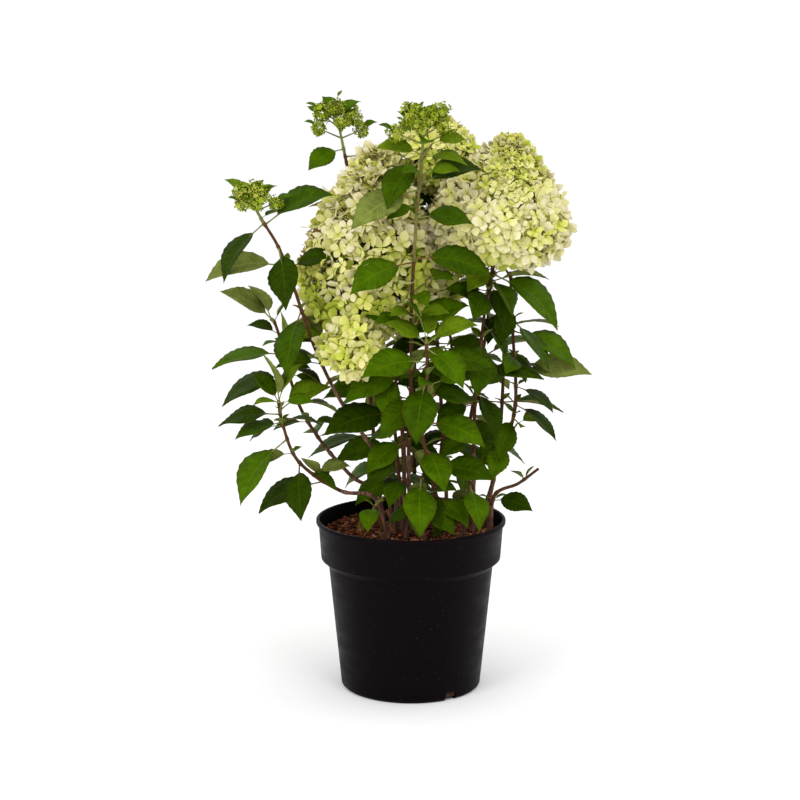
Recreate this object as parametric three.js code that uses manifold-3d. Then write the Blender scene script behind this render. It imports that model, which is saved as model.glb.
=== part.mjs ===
// A panicle hydrangea in a nursery pot, in millimetres, +Z up.
// The origin is the centre of the pot's flat underside, and the plant is seen from -Y.
import * as THREE from 'three';
import { mergeVertices } from 'three/addons/utils/BufferGeometryUtils.js';
import Module from 'manifold-3d';

const wasm = await Module();
wasm.setup();

// The pot: a thin moulded tub with a deeper band and a bead at its rim.
const POT_HEIGHT = 208;
const RIM_RADIUS = 115;
const BAND_HEIGHT = 48;
const BAND_TOP_RADIUS = RIM_RADIUS - 3;
const BAND_FOOT_RADIUS = RIM_RADIUS - 6;
const BEAD_HEIGHT = 6;
const STEP_HEIGHT = 8;
const BODY_RADIUS = 100;
const BASE_RADIUS = 85;
const BASE_EDGE = 3;
const WALL = 2.2;
const FLOOR = 3;
const POT_SIDES = 32;
const NOTCH_WIDTH = 14.5;
const NOTCH_HEIGHT = 10;
const NOTCH_DEPTH = 9;
const NOTCH_HEADING = 304;

// Neighbouring solids keep this gap, shorter edges than this are closed up, and the soil lies
// this far below the rim.
const GAP = 0.3;
const SHORTEST_EDGE = 0.01;
const SOIL_DROP = 16;
const SOIL_TOP = POT_HEIGHT - SOIL_DROP;
const GROUND = SOIL_TOP + GAP;

// Stems: woody at the foot, thin at the tip.
const STEM_RADIUS = 3.4;
const STEM_TIP_RADIUS = 2.2;
const FOOT_FLARE = 1.3;
const STEM_SIDES = 5;
const TWIG_SIDES = 3;
const STEM_STEP = 30;

// Leaves: ovate, banked outwards and arching down to a pointed tip.
const LEAF_WIDTH = 0.46;
const LEAF_THICKNESS = 1.3;
const LEAF_BANK = 42;
const LEAF_ARCH = 38;
const STALK_SHARE = 0.2;
const STALK_RADIUS = 0.9;
const SMALL_LEAF = 64;
const CLEARANCE = 0.7;
const LAST_JOINT = 0.995;
const MIDDLE_DEPTH = 80;
const HEADING_SCATTER = 12;
const PITCH_SCATTER = 10;
const LENGTH_SCATTER = 0.08;

// Side twigs: short shoots from the axil of some leaf pairs, with a small pair on each.
const SIDE_TWIG_SHARE = 0.2;
const SIDE_TWIG_LENGTH = 26;
const SIDE_LEAF = 42;
const SIDE_LEAF_TURN = 60;

// Flower heads: four-lobed florets that stand out of a rounded core.
const FLORET_RADIUS = 15;
const FLORET_ROOT = 14;
const FLORET_RISE = 2;
const CORE_INSET = 8;
const HEAD_MARGIN = 4;
const HEAD_SIDES = 8;
const HEAD_ROUNDNESS = 0.7;
const HEAD_TAPER = 0.35;

// Green bud heads: round clusters on thin stalks.
const CLUSTER_RADIUS = 9;
const CLUSTER_STALK_RADIUS = 1;
const BRACT_LENGTH = 24;
const BRACT_SHARE = 0.3;

// Each shoot has a plain name, a seed, the points its stem bends through, the share of it
// that is bare, and its leaf pairs: place along the stem, heading of the first leaf, pitch,
// the length of each leaf, and a bank where it isn't the usual one. A leaf of length 0 has
// fallen. Headings turn from +X (0) through the far side (90).
const SHOOTS = [
  {
    name: 'left_outer', seed: 11, bare: 0.5,
    path: [[-18, -14, GROUND], [-24, -22, 262], [-80, -45, 355], [-114, -55, 429],
      [-148, -62, 532], [-174, -66, 580]],
    pairs: [[0.56, 165, -10, 60, 55], [0.72, 252, -48, 92, 70], [0.85, 187, -15, 96, 62],
      [0.905, 278, -60, 84, 0], [0.98, 208, -56, 84, 0], [0.975, 7, 0, 88, 0, -30],
      [0.995, 215, 10, 36, 32]],
  },
  {
    name: 'left_middle', seed: 12, bare: 0.45,
    path: [[-22, 4, GROUND], [-31, 2, 237], [-74, -5, 263], [-130, -15, 342],
      [-158, -25, 442], [-166, -25, 456]],
    pairs: [[0.5, 100, -10, 75, 50], [0.57, 200, -14, 46, 52], [0.85, 197, -14, 88, 46],
      [0.77, 172, -32, 100, 45], [0.865, 215, 50, 60, 0], [0.98, 190, 24, 76, 42, 36],
      [0.995, 225, 50, 58, 0]],
  },
  {
    name: 'left_low', seed: 13, bare: 0.4,
    path: [[-27, -32, GROUND], [-45, -38, 243], [-84, -45, 252], [-132, -60, 290],
      [-150, -68, 335], [-155, -70, 366]],
    pairs: [[0.5, 191, -34, 88, 0], [0.53, 200, 33, 46, 0], [0.56, 15, 4, 48, 0, -30],
      [0.66, 275, -55, 80, 0], [0.72, 185, -24, 50, 0], [0.8, 196, -54, 96, 0],
      [0.87, 200, -20, 64, 0], [0.89, 148, -40, 54, 0], [0.93, 188, -16, 78, 0],
      [0.95, 10, 14, 68, 0, -38], [0.98, 212, 62, 66, 0], [0.995, 345, 55, 56, 0]],
  },
  {
    name: 'centre_front', seed: 14, bare: 0.22,
    path: [[2, -24, GROUND], [-3, -34, 273], [0, -60, 400], [0, -72, 472], [5, -85, 573], [12, -88, 655]],
    pairs: [[0.26, 215, -30, 70, 65], [0.35, 300, -40, 78, 70], [0.45, 195, -12, 90, 90],
      [0.56, 195, 18, 78, 75], [0.65, 285, -20, 50, 60], [0.73, 207, -28, 90, 0],
      [0.74, 352, -14, 94, 0], [0.84, 38, -15, 66, 0], [0.87, 200, -20, 42, 0],
      [0.91, 203, -30, 98, 0], [0.92, 2, 7, 80, 0, -38], [0.985, 222, -50, 78, 0],
      [0.99, 335, -30, 56, 0, -20], [0.995, 188, 6, 54, 0, 40]],
  },
  {
    name: 'left_upper', seed: 15, bare: 0.36,
    path: [[-8, 20, GROUND], [-9, 18, 299], [-20, 34, 353], [-45, 76, 466], [-70, 86, 590], [-82, 82, 650]],
    pairs: [[0.42, 110, -15, 85, 60], [0.56, 165, -5, 80, 70], [0.7, 110, 0, 70, 0],
      [0.84, 160, 0, 62, 40], [0.96, 13, 2, 50, 0, -34], [0.995, 215, -32, 60, 0, 40],
      [0.975, 12, -12, 84, 0, -24]],
  },
  {
    name: 'left_bloom', seed: 16, bare: 0.2,
    path: [[-10, 0, GROUND], [-21, 4, 327], [-40, 0, 400], [-58, -2, 434]],
    pairs: [[0.26, 230, -30, 70, 60], [0.42, 175, -20, 78, 60], [0.56, 255, -30, 75, 70],
      [0.72, 195, -10, 78, 75], [0.88, 285, -20, 72, 75]],
  },
  {
    name: 'left_small', seed: 17, bare: 0.22,
    path: [[-6, -40, GROUND], [-12, -44, 340], [-24, -58, 410], [-36, -70, 428]],
    pairs: [[0.3, 250, -25, 60, 55], [0.48, 215, -30, 74, 60], [0.62, 193, -14, 102, 0],
      [0.66, 330, -25, 70, 60], [0.84, 255, -45, 66, 0]],
  },
  {
    name: 'back_top', seed: 18, bare: 0.24,
    path: [[44, 20, GROUND], [42, 24, 262], [32, 34, 417], [28, 38, 500], [28, 42, 560], [26, 48, 600]],
    pairs: [[0.3, 350, -15, 75, 75], [0.42, 80, -15, 85, 70], [0.55, 350, -20, 70, 70],
      [0.7, 80, -10, 60, 0], [0.86, 70, -32, 62, 62], [0.93, 140, -10, 56, 0, 56],
      [0.97, 14, 50, 88, 0, -50], [0.98, 215, 45, 55, 0]],
  },
  {
    name: 'centre_back', seed: 19, bare: 0.3,
    path: [[24, 42, GROUND], [46, 52, 343], [50, 66, 410], [36, 80, 455]],
    pairs: [[0.36, 150, -20, 80, 75], [0.55, 60, -15, 80, 70], [0.75, 150, -5, 75, 75],
      [0.92, 60, -10, 70, 60]],
  },
  {
    name: 'centre_right', seed: 20, bare: 0.14,
    path: [[38, -24, GROUND], [24, -44, 276], [12, -80, 335], [18, -97, 400], [17, -100, 443]],
    pairs: [[0.2, 325, -35, 66, 60], [0.34, 345, -15, 82, 74], [0.48, 290, -40, 80, 70],
      [0.62, 340, -25, 84, 76], [0.74, 215, -30, 80, 70], [0.83, 250, -60, 84, 68],
      [0.9, 195, -15, 86, 82], [0.96, 305, -35, 76, 50], [0.98, 345, 20, 66, 54], [1, 215, 55, 56, 48]],
  },
  {
    name: 'right_bloom', seed: 21, bare: 0.3,
    path: [[76, -6, GROUND], [76, -8, 335], [83, -18, 427], [90, -10, 480], [98, -2, 518]],
    pairs: [[0.36, 215, -25, 58, 72], [0.48, 205, -25, 62, 70], [0.53, 300, -55, 72, 0],
      [0.6, 200, -10, 84, 84], [0.72, 270, -40, 98, 75], [0.84, 205, 25, 66, 72],
      [0.9, 212, -35, 74, 0], [0.95, 285, -38, 75, 70], [0.965, 2, -42, 108, 0, -34],
      [0.985, 232, -42, 60, 0]],
  },
  {
    name: 'right_back', seed: 22, bare: 0.3,
    path: [[84, 34, GROUND], [106, 38, 271], [114, 60, 404], [108, 74, 480]],
    pairs: [[0.38, 60, -20, 80, 60], [0.52, 340, -15, 80, 75], [0.68, 65, -15, 80, 75],
      [0.83, 345, -5, 74, 70], [0.98, 50, 15, 64, 60]],
  },
  {
    name: 'right_outer', seed: 23, bare: 0.3,
    path: [[90, 14, GROUND], [104, 12, 268], [125, 0, 344], [121, 0, 443], [118, 5, 508]],
    pairs: [[0.36, 240, -50, 64, 0], [0.46, 245, -52, 66, 0], [0.5, 326, -42, 66, 0],
      [0.57, 337, -32, 58, 0], [0.62, 352, -6, 94, 60, -36], [0.68, 260, -38, 72, 70],
      [0.78, 345, -62, 104, 0, -26], [0.82, 303, -56, 84, 0], [0.9, 250, -58, 64, 0],
      [0.98, 30, -48, 58, 0], [0.995, 223, -34, 54, 0]],
  },
  {
    name: 'right_low', seed: 24, bare: 0.3,
    path: [[96, -10, GROUND], [101, -6, 237], [130, -2, 251], [154, -5, 270]],
    pairs: [[0.36, 318, -6, 58, 0, -46], [0.45, 150, 10, 40, 0], [0.8, 330, 20, 24, 22]],
  },
  {
    name: 'back_left', seed: 25, bare: 0.14,
    path: [[-34, 34, GROUND], [-46, 62, 300], [-56, 104, 430], [-58, 130, 500]],
    pairs: [[0.2, 120, -30, 75, 60], [0.34, 200, -20, 85, 75], [0.48, 110, -20, 85, 75],
      [0.64, 190, -10, 84, 80], [0.8, 105, -10, 80, 75], [0.94, 190, 0, 74, 70]],
  },
  {
    name: 'back_middle', seed: 26, bare: 0.14,
    path: [[6, 54, GROUND], [4, 82, 300], [6, 124, 400], [8, 148, 476]],
    pairs: [[0.2, 150, -30, 75, 60], [0.34, 70, -30, 85, 75], [0.5, 150, -20, 85, 80],
      [0.68, 65, -15, 84, 75], [0.85, 150, 5, 74, 70], [0.98, 70, 40, 54, 54]],
  },
  {
    name: 'back_right', seed: 27, bare: 0.14,
    path: [[60, 56, GROUND], [72, 80, 300], [95, 116, 420], [102, 134, 498]],
    pairs: [[0.2, 90, -30, 75, 60], [0.34, 20, -20, 85, 75], [0.48, 100, -20, 85, 75],
      [0.64, 15, -10, 84, 80], [0.8, 95, -10, 80, 75], [0.94, 10, 0, 74, 70]],
  },
  {
    name: 'low_back', seed: 31, bare: 0.3,
    path: [[26, 82, GROUND], [28, 92, 232], [24, 104, 266]],
    pairs: [[0.55, 10, -20, 64, 60], [0.95, 80, -35, 78, 60]],
  },
  {
    name: 'low_front', seed: 28, bare: 0.3,
    path: [[16, -46, GROUND], [12, -56, 232], [12, -62, 274]],
    pairs: [[0.5, 330, -30, 56, 50], [0.72, 285, -60, 84, 60], [0.97, 262, -50, 86, 66]],
  },
  {
    name: 'low_right', seed: 29, bare: 0.3,
    path: [[62, -34, GROUND], [66, -42, 232], [70, -48, 264]],
    pairs: [[0.55, 220, -35, 60, 55], [0.95, 285, -58, 70, 62]],
  },
  {
    name: 'low_left', seed: 30, bare: 0.3,
    path: [[-32, -56, GROUND], [-36, -62, 215], [-44, -66, 240]],
    pairs: [[0.6, 235, -15, 40, 0], [0.96, 262, -46, 52, 0]],
  },
];

// Flower heads: the shoot each one tops, its tip, its radius, where it is widest and its florets.
const HEADS = [
  { name: 'left_large', shoot: 'left_bloom', tip: [-40, -14, 656], radius: 84, widest: 0.34, florets: 34 },
  { name: 'right_large', shoot: 'right_bloom', tip: [118, 4, 668], radius: 84, widest: 0.34, florets: 32 },
  { name: 'back_top', shoot: 'back_top', tip: [24, 48, 692], radius: 54, widest: 0.5, florets: 14 },
  { name: 'left_small', shoot: 'left_small', tip: [-102, -84, 430], radius: 37, widest: 0.5, florets: 9 },
  { name: 'centre_back', shoot: 'centre_back', tip: [28, 88, 545], radius: 40, widest: 0.5, florets: 9 },
  { name: 'back_left', shoot: 'back_left', tip: [-60, 138, 618], radius: 50, widest: 0.42, florets: 14 },
  { name: 'back_right', shoot: 'back_right', tip: [106, 140, 618], radius: 50, widest: 0.42, florets: 14 },
];

// Bud heads: the shoot each one tops, its height, its half width and its rows of stalks.
const BUDS = [
  { name: 'left_outer', shoot: 'left_outer', height: 48, spread: 32, rows: 4, seed: 41 },
  { name: 'left_upper', shoot: 'left_upper', height: 62, spread: 42, rows: 5, seed: 42 },
  { name: 'centre_front', shoot: 'centre_front', height: 62, spread: 46, rows: 6, seed: 43 },
];

const UP = new THREE.Vector3(0, 0, 1);
const DEGREE = Math.PI / 180;
const GOLDEN_ANGLE = 137.5 * DEGREE;

// A seeded random number between 0 and 1, the same on every run.
function seededRandom(seed) {
  let state = seed * 7919;
  return () => {
    state = (Math.imul(state, 1664525) + 1013904223) >>> 0;
    return state / 4294967296;
  };
}

function toManifold(geometry) {
  const bare = geometry.clone();
  bare.deleteAttribute('normal');
  bare.deleteAttribute('uv');
  const merged = mergeVertices(bare, 1e-4);
  return new wasm.Manifold(new wasm.Mesh({
    numProp: 3,
    vertProperties: new Float32Array(merged.attributes.position.array),
    triVerts: new Uint32Array(merged.index.array),
  }));
}

function toGeometry(solid) {
  const mesh = solid.getMesh();
  const geometry = new THREE.BufferGeometry();
  geometry.setAttribute('position', new THREE.BufferAttribute(mesh.vertProperties, 3));
  geometry.setIndex(new THREE.BufferAttribute(mesh.triVerts, 1));
  geometry.computeVertexNormals();
  return geometry;
}

// Joins pieces into one body: loose scraps are dropped and sealed hollows are filled.
function fuse(pieces) {
  const bodies = wasm.Manifold.union(pieces).decompose();
  const largest = bodies.reduce((best, body) => (body.volume() > best.volume() ? body : best));
  return largest.simplify(SHORTEST_EDGE);
}

// A closed skin over rings of points. The first and the last ring may be single points.
function skin(rings) {
  const positions = [];
  const triangles = [];
  const starts = [];
  for (const ring of rings) {
    starts.push(positions.length / 3);
    ring.forEach((point) => positions.push(point.x, point.y, point.z));
  }
  const end = rings.length - 1;
  for (let row = 0; row < end; row += 1) {
    const near = rings[row].length;
    const far = rings[row + 1].length;
    const sides = Math.max(near, far);
    for (let side = 0; side < sides; side += 1) {
      const next = (side + 1) % sides;
      if (near > 1) {
        triangles.push(starts[row] + side, starts[row] + next, starts[row + 1] + next % far);
      }
      if (far > 1) {
        triangles.push(starts[row] + side % near, starts[row + 1] + next, starts[row + 1] + side);
      }
    }
  }
  for (let side = 2; side < rings[0].length; side += 1) {
    triangles.push(0, side, side - 1);
  }
  for (let side = 2; side < rings[end].length; side += 1) {
    triangles.push(starts[end], starts[end] + side - 1, starts[end] + side);
  }
  const geometry = new THREE.BufferGeometry();
  geometry.setAttribute('position', new THREE.Float32BufferAttribute(positions, 3));
  geometry.setIndex(triangles);
  return toManifold(geometry);
}

// Points spaced evenly round a centre, in the plane of two directions.
function ringOf(centre, across, other, radius, sides, spin = 0) {
  return Array.from({ length: sides }, (unused, side) => {
    const angle = spin + 2 * Math.PI * side / sides;
    return centre.clone()
      .addScaledVector(across, radius * Math.cos(angle))
      .addScaledVector(other, radius * Math.sin(angle));
  });
}

// A ring square to a direction, its first point level with its centre.
function ringAt(centre, direction, radius, sides, spin = 0) {
  const across = new THREE.Vector3().crossVectors(UP, direction);
  if (across.length() < 0.05) {
    across.set(1, 0, 0);
  }
  across.normalize();
  const other = new THREE.Vector3().crossVectors(direction, across).normalize();
  return ringOf(centre, across, other, radius, sides, spin);
}

// A straight stalk between two points, tapering from one radius to the other.
function stalk(from, to, startRadius, endRadius, sides) {
  const direction = to.clone().sub(from).normalize();
  return skin([ringAt(from, direction, startRadius, sides), ringAt(to, direction, endRadius, sides)]);
}

function shootNamed(name) {
  return SHOOTS.find((shoot) => shoot.name === name);
}

function shootCurve(shoot) {
  const points = shoot.path.map((point) => new THREE.Vector3(...point));
  return new THREE.CatmullRomCurve3(points, false, 'catmullrom', 0.5);
}

// A tapering limb along a stretch of a curve. Its rings turn as little as they can, and a
// limb that stands on the soil has a flat, flared foot.
function limb(curve, from, to, sides) {
  const steps = Math.max(2, Math.ceil(curve.getLength() * (to - from) / STEM_STEP));
  const rings = [];
  let across = new THREE.Vector3(1, 0, 0);
  for (let step = 0; step <= steps; step += 1) {
    const along = THREE.MathUtils.lerp(from, to, step / steps);
    const direction = along === 0 ? UP : curve.getTangentAt(along);
    const other = new THREE.Vector3().crossVectors(direction, across).normalize();
    across = new THREE.Vector3().crossVectors(other, direction).normalize();
    const taper = STEM_RADIUS + (STEM_TIP_RADIUS - STEM_RADIUS) * along;
    const radius = along === 0 ? taper * FOOT_FLARE : taper;
    rings.push(ringOf(curve.getPointAt(along), across, other, radius, sides));
  }
  return skin(rings);
}

function bareStem(shoot) {
  return limb(shootCurve(shoot), 0, shoot.bare, STEM_SIDES);
}

// The leafy stem goes on from the bare stem's tip, one gap further up.
function leafyStem(shoot) {
  const curve = shootCurve(shoot);
  return limb(curve, shoot.bare + 1.2 * GAP / curve.getLength(), 1, TWIG_SIDES);
}

function direct(heading, pitch) {
  return new THREE.Vector3(
    Math.cos(heading * DEGREE) * Math.cos(pitch * DEGREE),
    Math.sin(heading * DEGREE) * Math.cos(pitch * DEGREE),
    Math.sin(pitch * DEGREE),
  );
}

// The heading from the middle of the plant out to a point.
function outwardHeading(point) {
  return Math.atan2(point.y - MIDDLE_DEPTH, point.x) / DEGREE;
}

function stalkEnd(leaf) {
  const direction = direct(leaf.heading, leaf.pitch + LEAF_ARCH / 2);
  return leaf.base.clone().addScaledVector(direction, leaf.length * STALK_SHARE);
}

// A point on the midrib, which arches down evenly from the stalk to the tip.
function bladePoint(leaf, along) {
  const steps = 12;
  const blade = leaf.length * (1 - STALK_SHARE);
  const point = stalkEnd(leaf);
  for (let step = 0; step < steps; step += 1) {
    const middle = along * (step + 0.5) / steps;
    const pitch = leaf.pitch + LEAF_ARCH * (0.5 - middle);
    point.addScaledVector(direct(leaf.heading, pitch), blade * along / steps);
  }
  return point;
}

// Half the leaf's width at a place along its blade, as a share of its length.
function bladeHalfWidth(along) {
  return LEAF_WIDTH / 2 * Math.sin(Math.PI * along ** 0.75);
}

// The blade's section: its two edges and the midrib under them. The blade is banked, so that
// its face leans away from the middle of the plant.
function bladeRing(leaf, along, thickness, margin) {
  const direction = direct(leaf.heading, leaf.pitch + LEAF_ARCH * (0.5 - along));
  const outward = LEAF_BANK * Math.sin((outwardHeading(leaf.base) - leaf.heading) * DEGREE);
  const bank = leaf.bank ?? outward;
  const level = new THREE.Vector3().crossVectors(UP, direct(leaf.heading, 0));
  const side = level.applyAxisAngle(direction, -bank * DEGREE);
  const up = new THREE.Vector3().crossVectors(direction, side);
  const centre = bladePoint(leaf, along);
  const half = Math.max(STALK_RADIUS, leaf.length * bladeHalfWidth(along)) + margin;
  const face = centre.clone().addScaledVector(up, thickness / 2);
  return [
    face.clone().addScaledVector(side, half),
    face.clone().addScaledVector(side, -half),
    centre.addScaledVector(up, -thickness / 2),
  ];
}

// The places along a blade where its outline bends.
function bladePlaces(leaf) {
  return leaf.length > SMALL_LEAF ? [0.28, 0.66] : [0.42];
}

// A whole leaf: its stalk starts inside the stem, and its blade ends in a point.
function leafSolid(leaf) {
  const direction = direct(leaf.heading, leaf.pitch + LEAF_ARCH / 2);
  return skin([
    ringAt(leaf.base, direction, STALK_RADIUS, TWIG_SIDES),
    bladeRing(leaf, 0, 2 * STALK_RADIUS, 0),
    ...bladePlaces(leaf).map((place) => bladeRing(leaf, place, LEAF_THICKNESS, 0)),
    [bladePoint(leaf, 1)],
  ]);
}

// The space that a blade or a stalk keeps to itself, with a little clearance all round.
function bladeSpace(leaf) {
  const thickness = LEAF_THICKNESS + 2 * CLEARANCE;
  const places = [0, ...bladePlaces(leaf), 0.95];
  const rings = places.map((place) => bladeRing(leaf, place, thickness, CLEARANCE));
  return skin([...rings, [bladePoint(leaf, 1.03)]]);
}

function stalkSpace(leaf) {
  const radius = STALK_RADIUS + CLEARANCE;
  return stalk(leaf.base, stalkEnd(leaf), radius, radius, TWIG_SIDES);
}

// The spaces that are taken so far, each with the name of its owner.
const taken = [];

function keepSpace(owner, solid) {
  taken.push({ owner, solid, box: solid.boundingBox() });
}

function boxesMeet(a, b) {
  return [0, 1, 2].every((axis) => a.min[axis] < b.max[axis] && b.min[axis] < a.max[axis]);
}

// Whether a solid is clear of every space that is taken, apart from those of one owner.
function isClear(solid, owner) {
  const box = solid.boundingBox();
  return taken.every((other) => other.owner === owner
    || !boxesMeet(box, other.box)
    || solid.intersect(other.solid).isEmpty());
}

// Leaves stay above the soil, and above the rim where they reach over it.
function isAbovePot(leaf) {
  const rings = [0.28, 0.66, 0.95].map((place) => bladeRing(leaf, place, LEAF_THICKNESS, 0));
  return [...rings.flat(), bladePoint(leaf, 1)].every((point) => {
    const floor = Math.hypot(point.x, point.y) > BODY_RADIUS ? POT_HEIGHT : SOIL_TOP;
    return point.z > floor + 2 * CLEARANCE;
  });
}

// The turns that a leaf may make to stay clear, each as heading, pitch and size. A leaf that
// finds no room is left out.
const TURNS = [[0, 0, 1], [0, 14, 1], [0, -14, 1], [18, 0, 1], [-18, 0, 1], [34, 8, 1],
  [-34, 8, 1], [0, 28, 0.85], [22, -10, 0.75], [-22, -10, 0.75]];

function placeLeaf(owner, base, heading, pitch, length, bank) {
  for (const [turn, tilt, size] of TURNS) {
    const leaf = { base, heading: heading + turn, pitch: pitch + tilt, length: length * size, bank };
    const space = bladeSpace(leaf);
    if (isAbovePot(leaf) && isClear(space, null) && isClear(stalkSpace(leaf), owner)) {
      keepSpace(owner, space);
      keepSpace(owner, stalkSpace(leaf));
      return [leafSolid(leaf)];
    }
  }
  return [];
}

// A side twig from the axil of a leaf pair, with a small pair of leaves at its tip.
function sideTwig(owner, base, heading, random) {
  const direction = direct(heading, 35 + 20 * random());
  const tip = base.clone().addScaledVector(direction, SIDE_TWIG_LENGTH);
  const stem = stalk(base, tip, STEM_TIP_RADIUS, CLUSTER_STALK_RADIUS, TWIG_SIDES);
  if (!isClear(stem, owner)) {
    return [];
  }
  keepSpace(owner, stem);
  const leafBase = tip.addScaledVector(direction, -1);
  return [
    stem,
    ...placeLeaf(owner, leafBase, heading + SIDE_LEAF_TURN, 0, SIDE_LEAF),
    ...placeLeaf(owner, leafBase, heading - SIDE_LEAF_TURN, 0, SIDE_LEAF),
  ];
}

// A mass: the leafy stem with its opposite leaf pairs and a few side twigs.
function leafMass(shoot) {
  const random = seededRandom(shoot.seed);
  const curve = shootCurve(shoot);
  const pieces = [leafyStem(shoot)];
  for (const [along, heading, pitch, first, second, bank] of shoot.pairs) {
    const base = curve.getPointAt(Math.min(along, LAST_JOINT));
    [first, second].forEach((length, which) => {
      const leafHeading = heading + 180 * which + HEADING_SCATTER * (random() - 0.5);
      const leafPitch = pitch + PITCH_SCATTER * (random() - 0.5);
      const leafLength = length * (1 + LENGTH_SCATTER * (random() - 0.5));
      if (length > 0) {
        pieces.push(...placeLeaf(shoot.name, base, leafHeading, leafPitch, leafLength, bank));
      }
    });
    if (random() < SIDE_TWIG_SHARE) {
      pieces.push(...sideTwig(shoot.name, base, heading + 90, random));
    }
  }
  return fuse(pieces);
}

// The tip of a shoot, one gap further on, and the direction in which the shoot points there.
function shootTip(shoot) {
  const curve = shootCurve(shoot);
  const tangent = curve.getTangentAt(1);
  return { base: curve.getPointAt(1).addScaledVector(tangent, 1.2 * GAP), tangent };
}

// The axis of a flower head, from the tip of its shoot.
function headAxis(head) {
  const { base, tangent } = shootTip(shootNamed(head.shoot));
  const tip = new THREE.Vector3(...head.tip);
  return { base, tip, direction: tip.clone().sub(base).normalize(), tangent };
}

// The half width of a flower head at a place along it, as a share of its radius. Above its
// widest place it narrows like a cone.
function headProfile(head, along) {
  const power = Math.log(0.5) / Math.log(head.widest);
  const narrowing = 1 - HEAD_TAPER * Math.max(0, along - head.widest);
  return narrowing * Math.sin(Math.PI * along ** power) ** HEAD_ROUNDNESS;
}

// A rounded body inside a flower head's outline, or round it where the inset is negative.
function headBody(head, inset) {
  const { base, tip, direction } = headAxis(head);
  const start = base.addScaledVector(direction, inset);
  const end = tip.addScaledVector(direction, -inset);
  return skin([0.04, 0.22, 0.45, 0.7, 0.92].map((place) => {
    const radius = (head.radius - inset) * headProfile(head, place);
    return ringAt(start.clone().lerp(end, place), direction, radius, HEAD_SIDES);
  }));
}

// A floret: four corners round a shallow centre, on a root that is sunk into the core.
function floret(centre, normal, spin) {
  const root = centre.clone().addScaledVector(normal, -FLORET_ROOT);
  const face = centre.clone().addScaledVector(normal, FLORET_RISE);
  return skin([[root], ringAt(centre, normal, FLORET_RADIUS, 4, spin), [face]]);
}

// A flower head: its stalk, its core, and florets on a spiral round it.
function flowerHead(head) {
  const { base, tip, direction, tangent } = headAxis(head);
  const across = new THREE.Vector3().crossVectors(direction, new THREE.Vector3(0, 1, 0)).normalize();
  const other = new THREE.Vector3().crossVectors(direction, across);
  const middle = base.clone().lerp(tip, 0.35);
  const stem = skin([
    ringAt(base, tangent, STEM_TIP_RADIUS, TWIG_SIDES),
    ringAt(middle, direction, STEM_TIP_RADIUS, TWIG_SIDES),
  ]);
  const pieces = [stem, headBody(head, CORE_INSET)];
  for (let count = 0; count < head.florets; count += 1) {
    const along = 0.06 + 0.92 * (count + 0.5) / head.florets;
    const angle = count * GOLDEN_ANGLE;
    const out = across.clone().multiplyScalar(Math.cos(angle)).addScaledVector(other, Math.sin(angle));
    const centre = base.clone().lerp(tip, along)
      .addScaledVector(out, head.radius * headProfile(head, along));
    const normal = centre.clone().sub(middle).normalize();
    const piece = floret(centre.addScaledVector(normal, -FLORET_RISE), normal, count);
    if (isClear(piece, `bloom_${head.name}`)) {
      pieces.push(piece);
    }
  }
  return fuse(pieces);
}

// A stalk that swells into a round cluster of buds at its end.
function budStalk(from, direction, reach, radius) {
  const at = (distance, width) => (
    ringAt(from.clone().addScaledVector(direction, distance), direction, width, TWIG_SIDES)
  );
  return skin([
    at(0, CLUSTER_STALK_RADIUS),
    at(reach - 1.6 * radius, CLUSTER_STALK_RADIUS),
    at(reach - 0.7 * radius, radius),
    [from.clone().addScaledVector(direction, reach)],
  ]);
}

// A bud head: opposite stalks up a short axis, each with a round cluster, and a few bracts.
function budHead(bud) {
  const random = seededRandom(bud.seed);
  const { base, tangent } = shootTip(shootNamed(bud.shoot));
  const pieces = [budStalk(base, tangent, bud.height, CLUSTER_RADIUS)];
  for (let row = 0; row < bud.rows; row += 1) {
    const along = 0.2 + 0.6 * row / bud.rows;
    const from = base.clone().addScaledVector(tangent, along * bud.height);
    for (const side of [0, 180]) {
      const heading = 65 * row + side + 40 * random();
      const reach = bud.spread * (1 - 0.4 * along) * (0.8 + 0.3 * random());
      const direction = direct(heading, 15 + 35 * along);
      pieces.push(budStalk(from, direction, reach, CLUSTER_RADIUS * (0.8 + 0.4 * random())));
      if (random() < BRACT_SHARE) {
        const end = from.clone().addScaledVector(direction, reach - CLUSTER_RADIUS);
        pieces.push(leafSolid({ base: end, heading, pitch: 20, length: BRACT_LENGTH }));
      }
    }
  }
  return fuse(pieces);
}

function turned(outline) {
  const points = outline.map(([radius, height]) => new THREE.Vector2(radius, height));
  return toManifold(new THREE.LatheGeometry(points, POT_SIDES).rotateX(Math.PI / 2));
}

// The pot is turned as one closed outline, and drainage notches are cut in its base edge.
function potSolid() {
  const stepTop = POT_HEIGHT - BAND_HEIGHT;
  const beadFoot = POT_HEIGHT - BEAD_HEIGHT;
  let pot = turned([
    [0, 0],
    [BASE_RADIUS - BASE_EDGE, 0],
    [BASE_RADIUS, BASE_EDGE],
    [BODY_RADIUS, stepTop - STEP_HEIGHT],
    [BAND_FOOT_RADIUS, stepTop],
    [BAND_TOP_RADIUS, beadFoot],
    [RIM_RADIUS, beadFoot + 1.5],
    [RIM_RADIUS, POT_HEIGHT - 1],
    [RIM_RADIUS - 1, POT_HEIGHT],
    [BAND_TOP_RADIUS - 1, POT_HEIGHT],
    [BAND_FOOT_RADIUS - WALL, stepTop],
    [BODY_RADIUS - WALL, stepTop - STEP_HEIGHT],
    [BASE_RADIUS - WALL, FLOOR],
    [0, FLOOR],
  ]);
  for (const turn of [0, 180]) {
    const notch = new THREE.BoxGeometry(2 * NOTCH_DEPTH, NOTCH_WIDTH, 2 * NOTCH_HEIGHT)
      .translate(BASE_RADIUS, 0, 0)
      .rotateZ((NOTCH_HEADING + turn) * DEGREE);
    pot = pot.subtract(toManifold(notch));
  }
  return pot;
}

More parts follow.
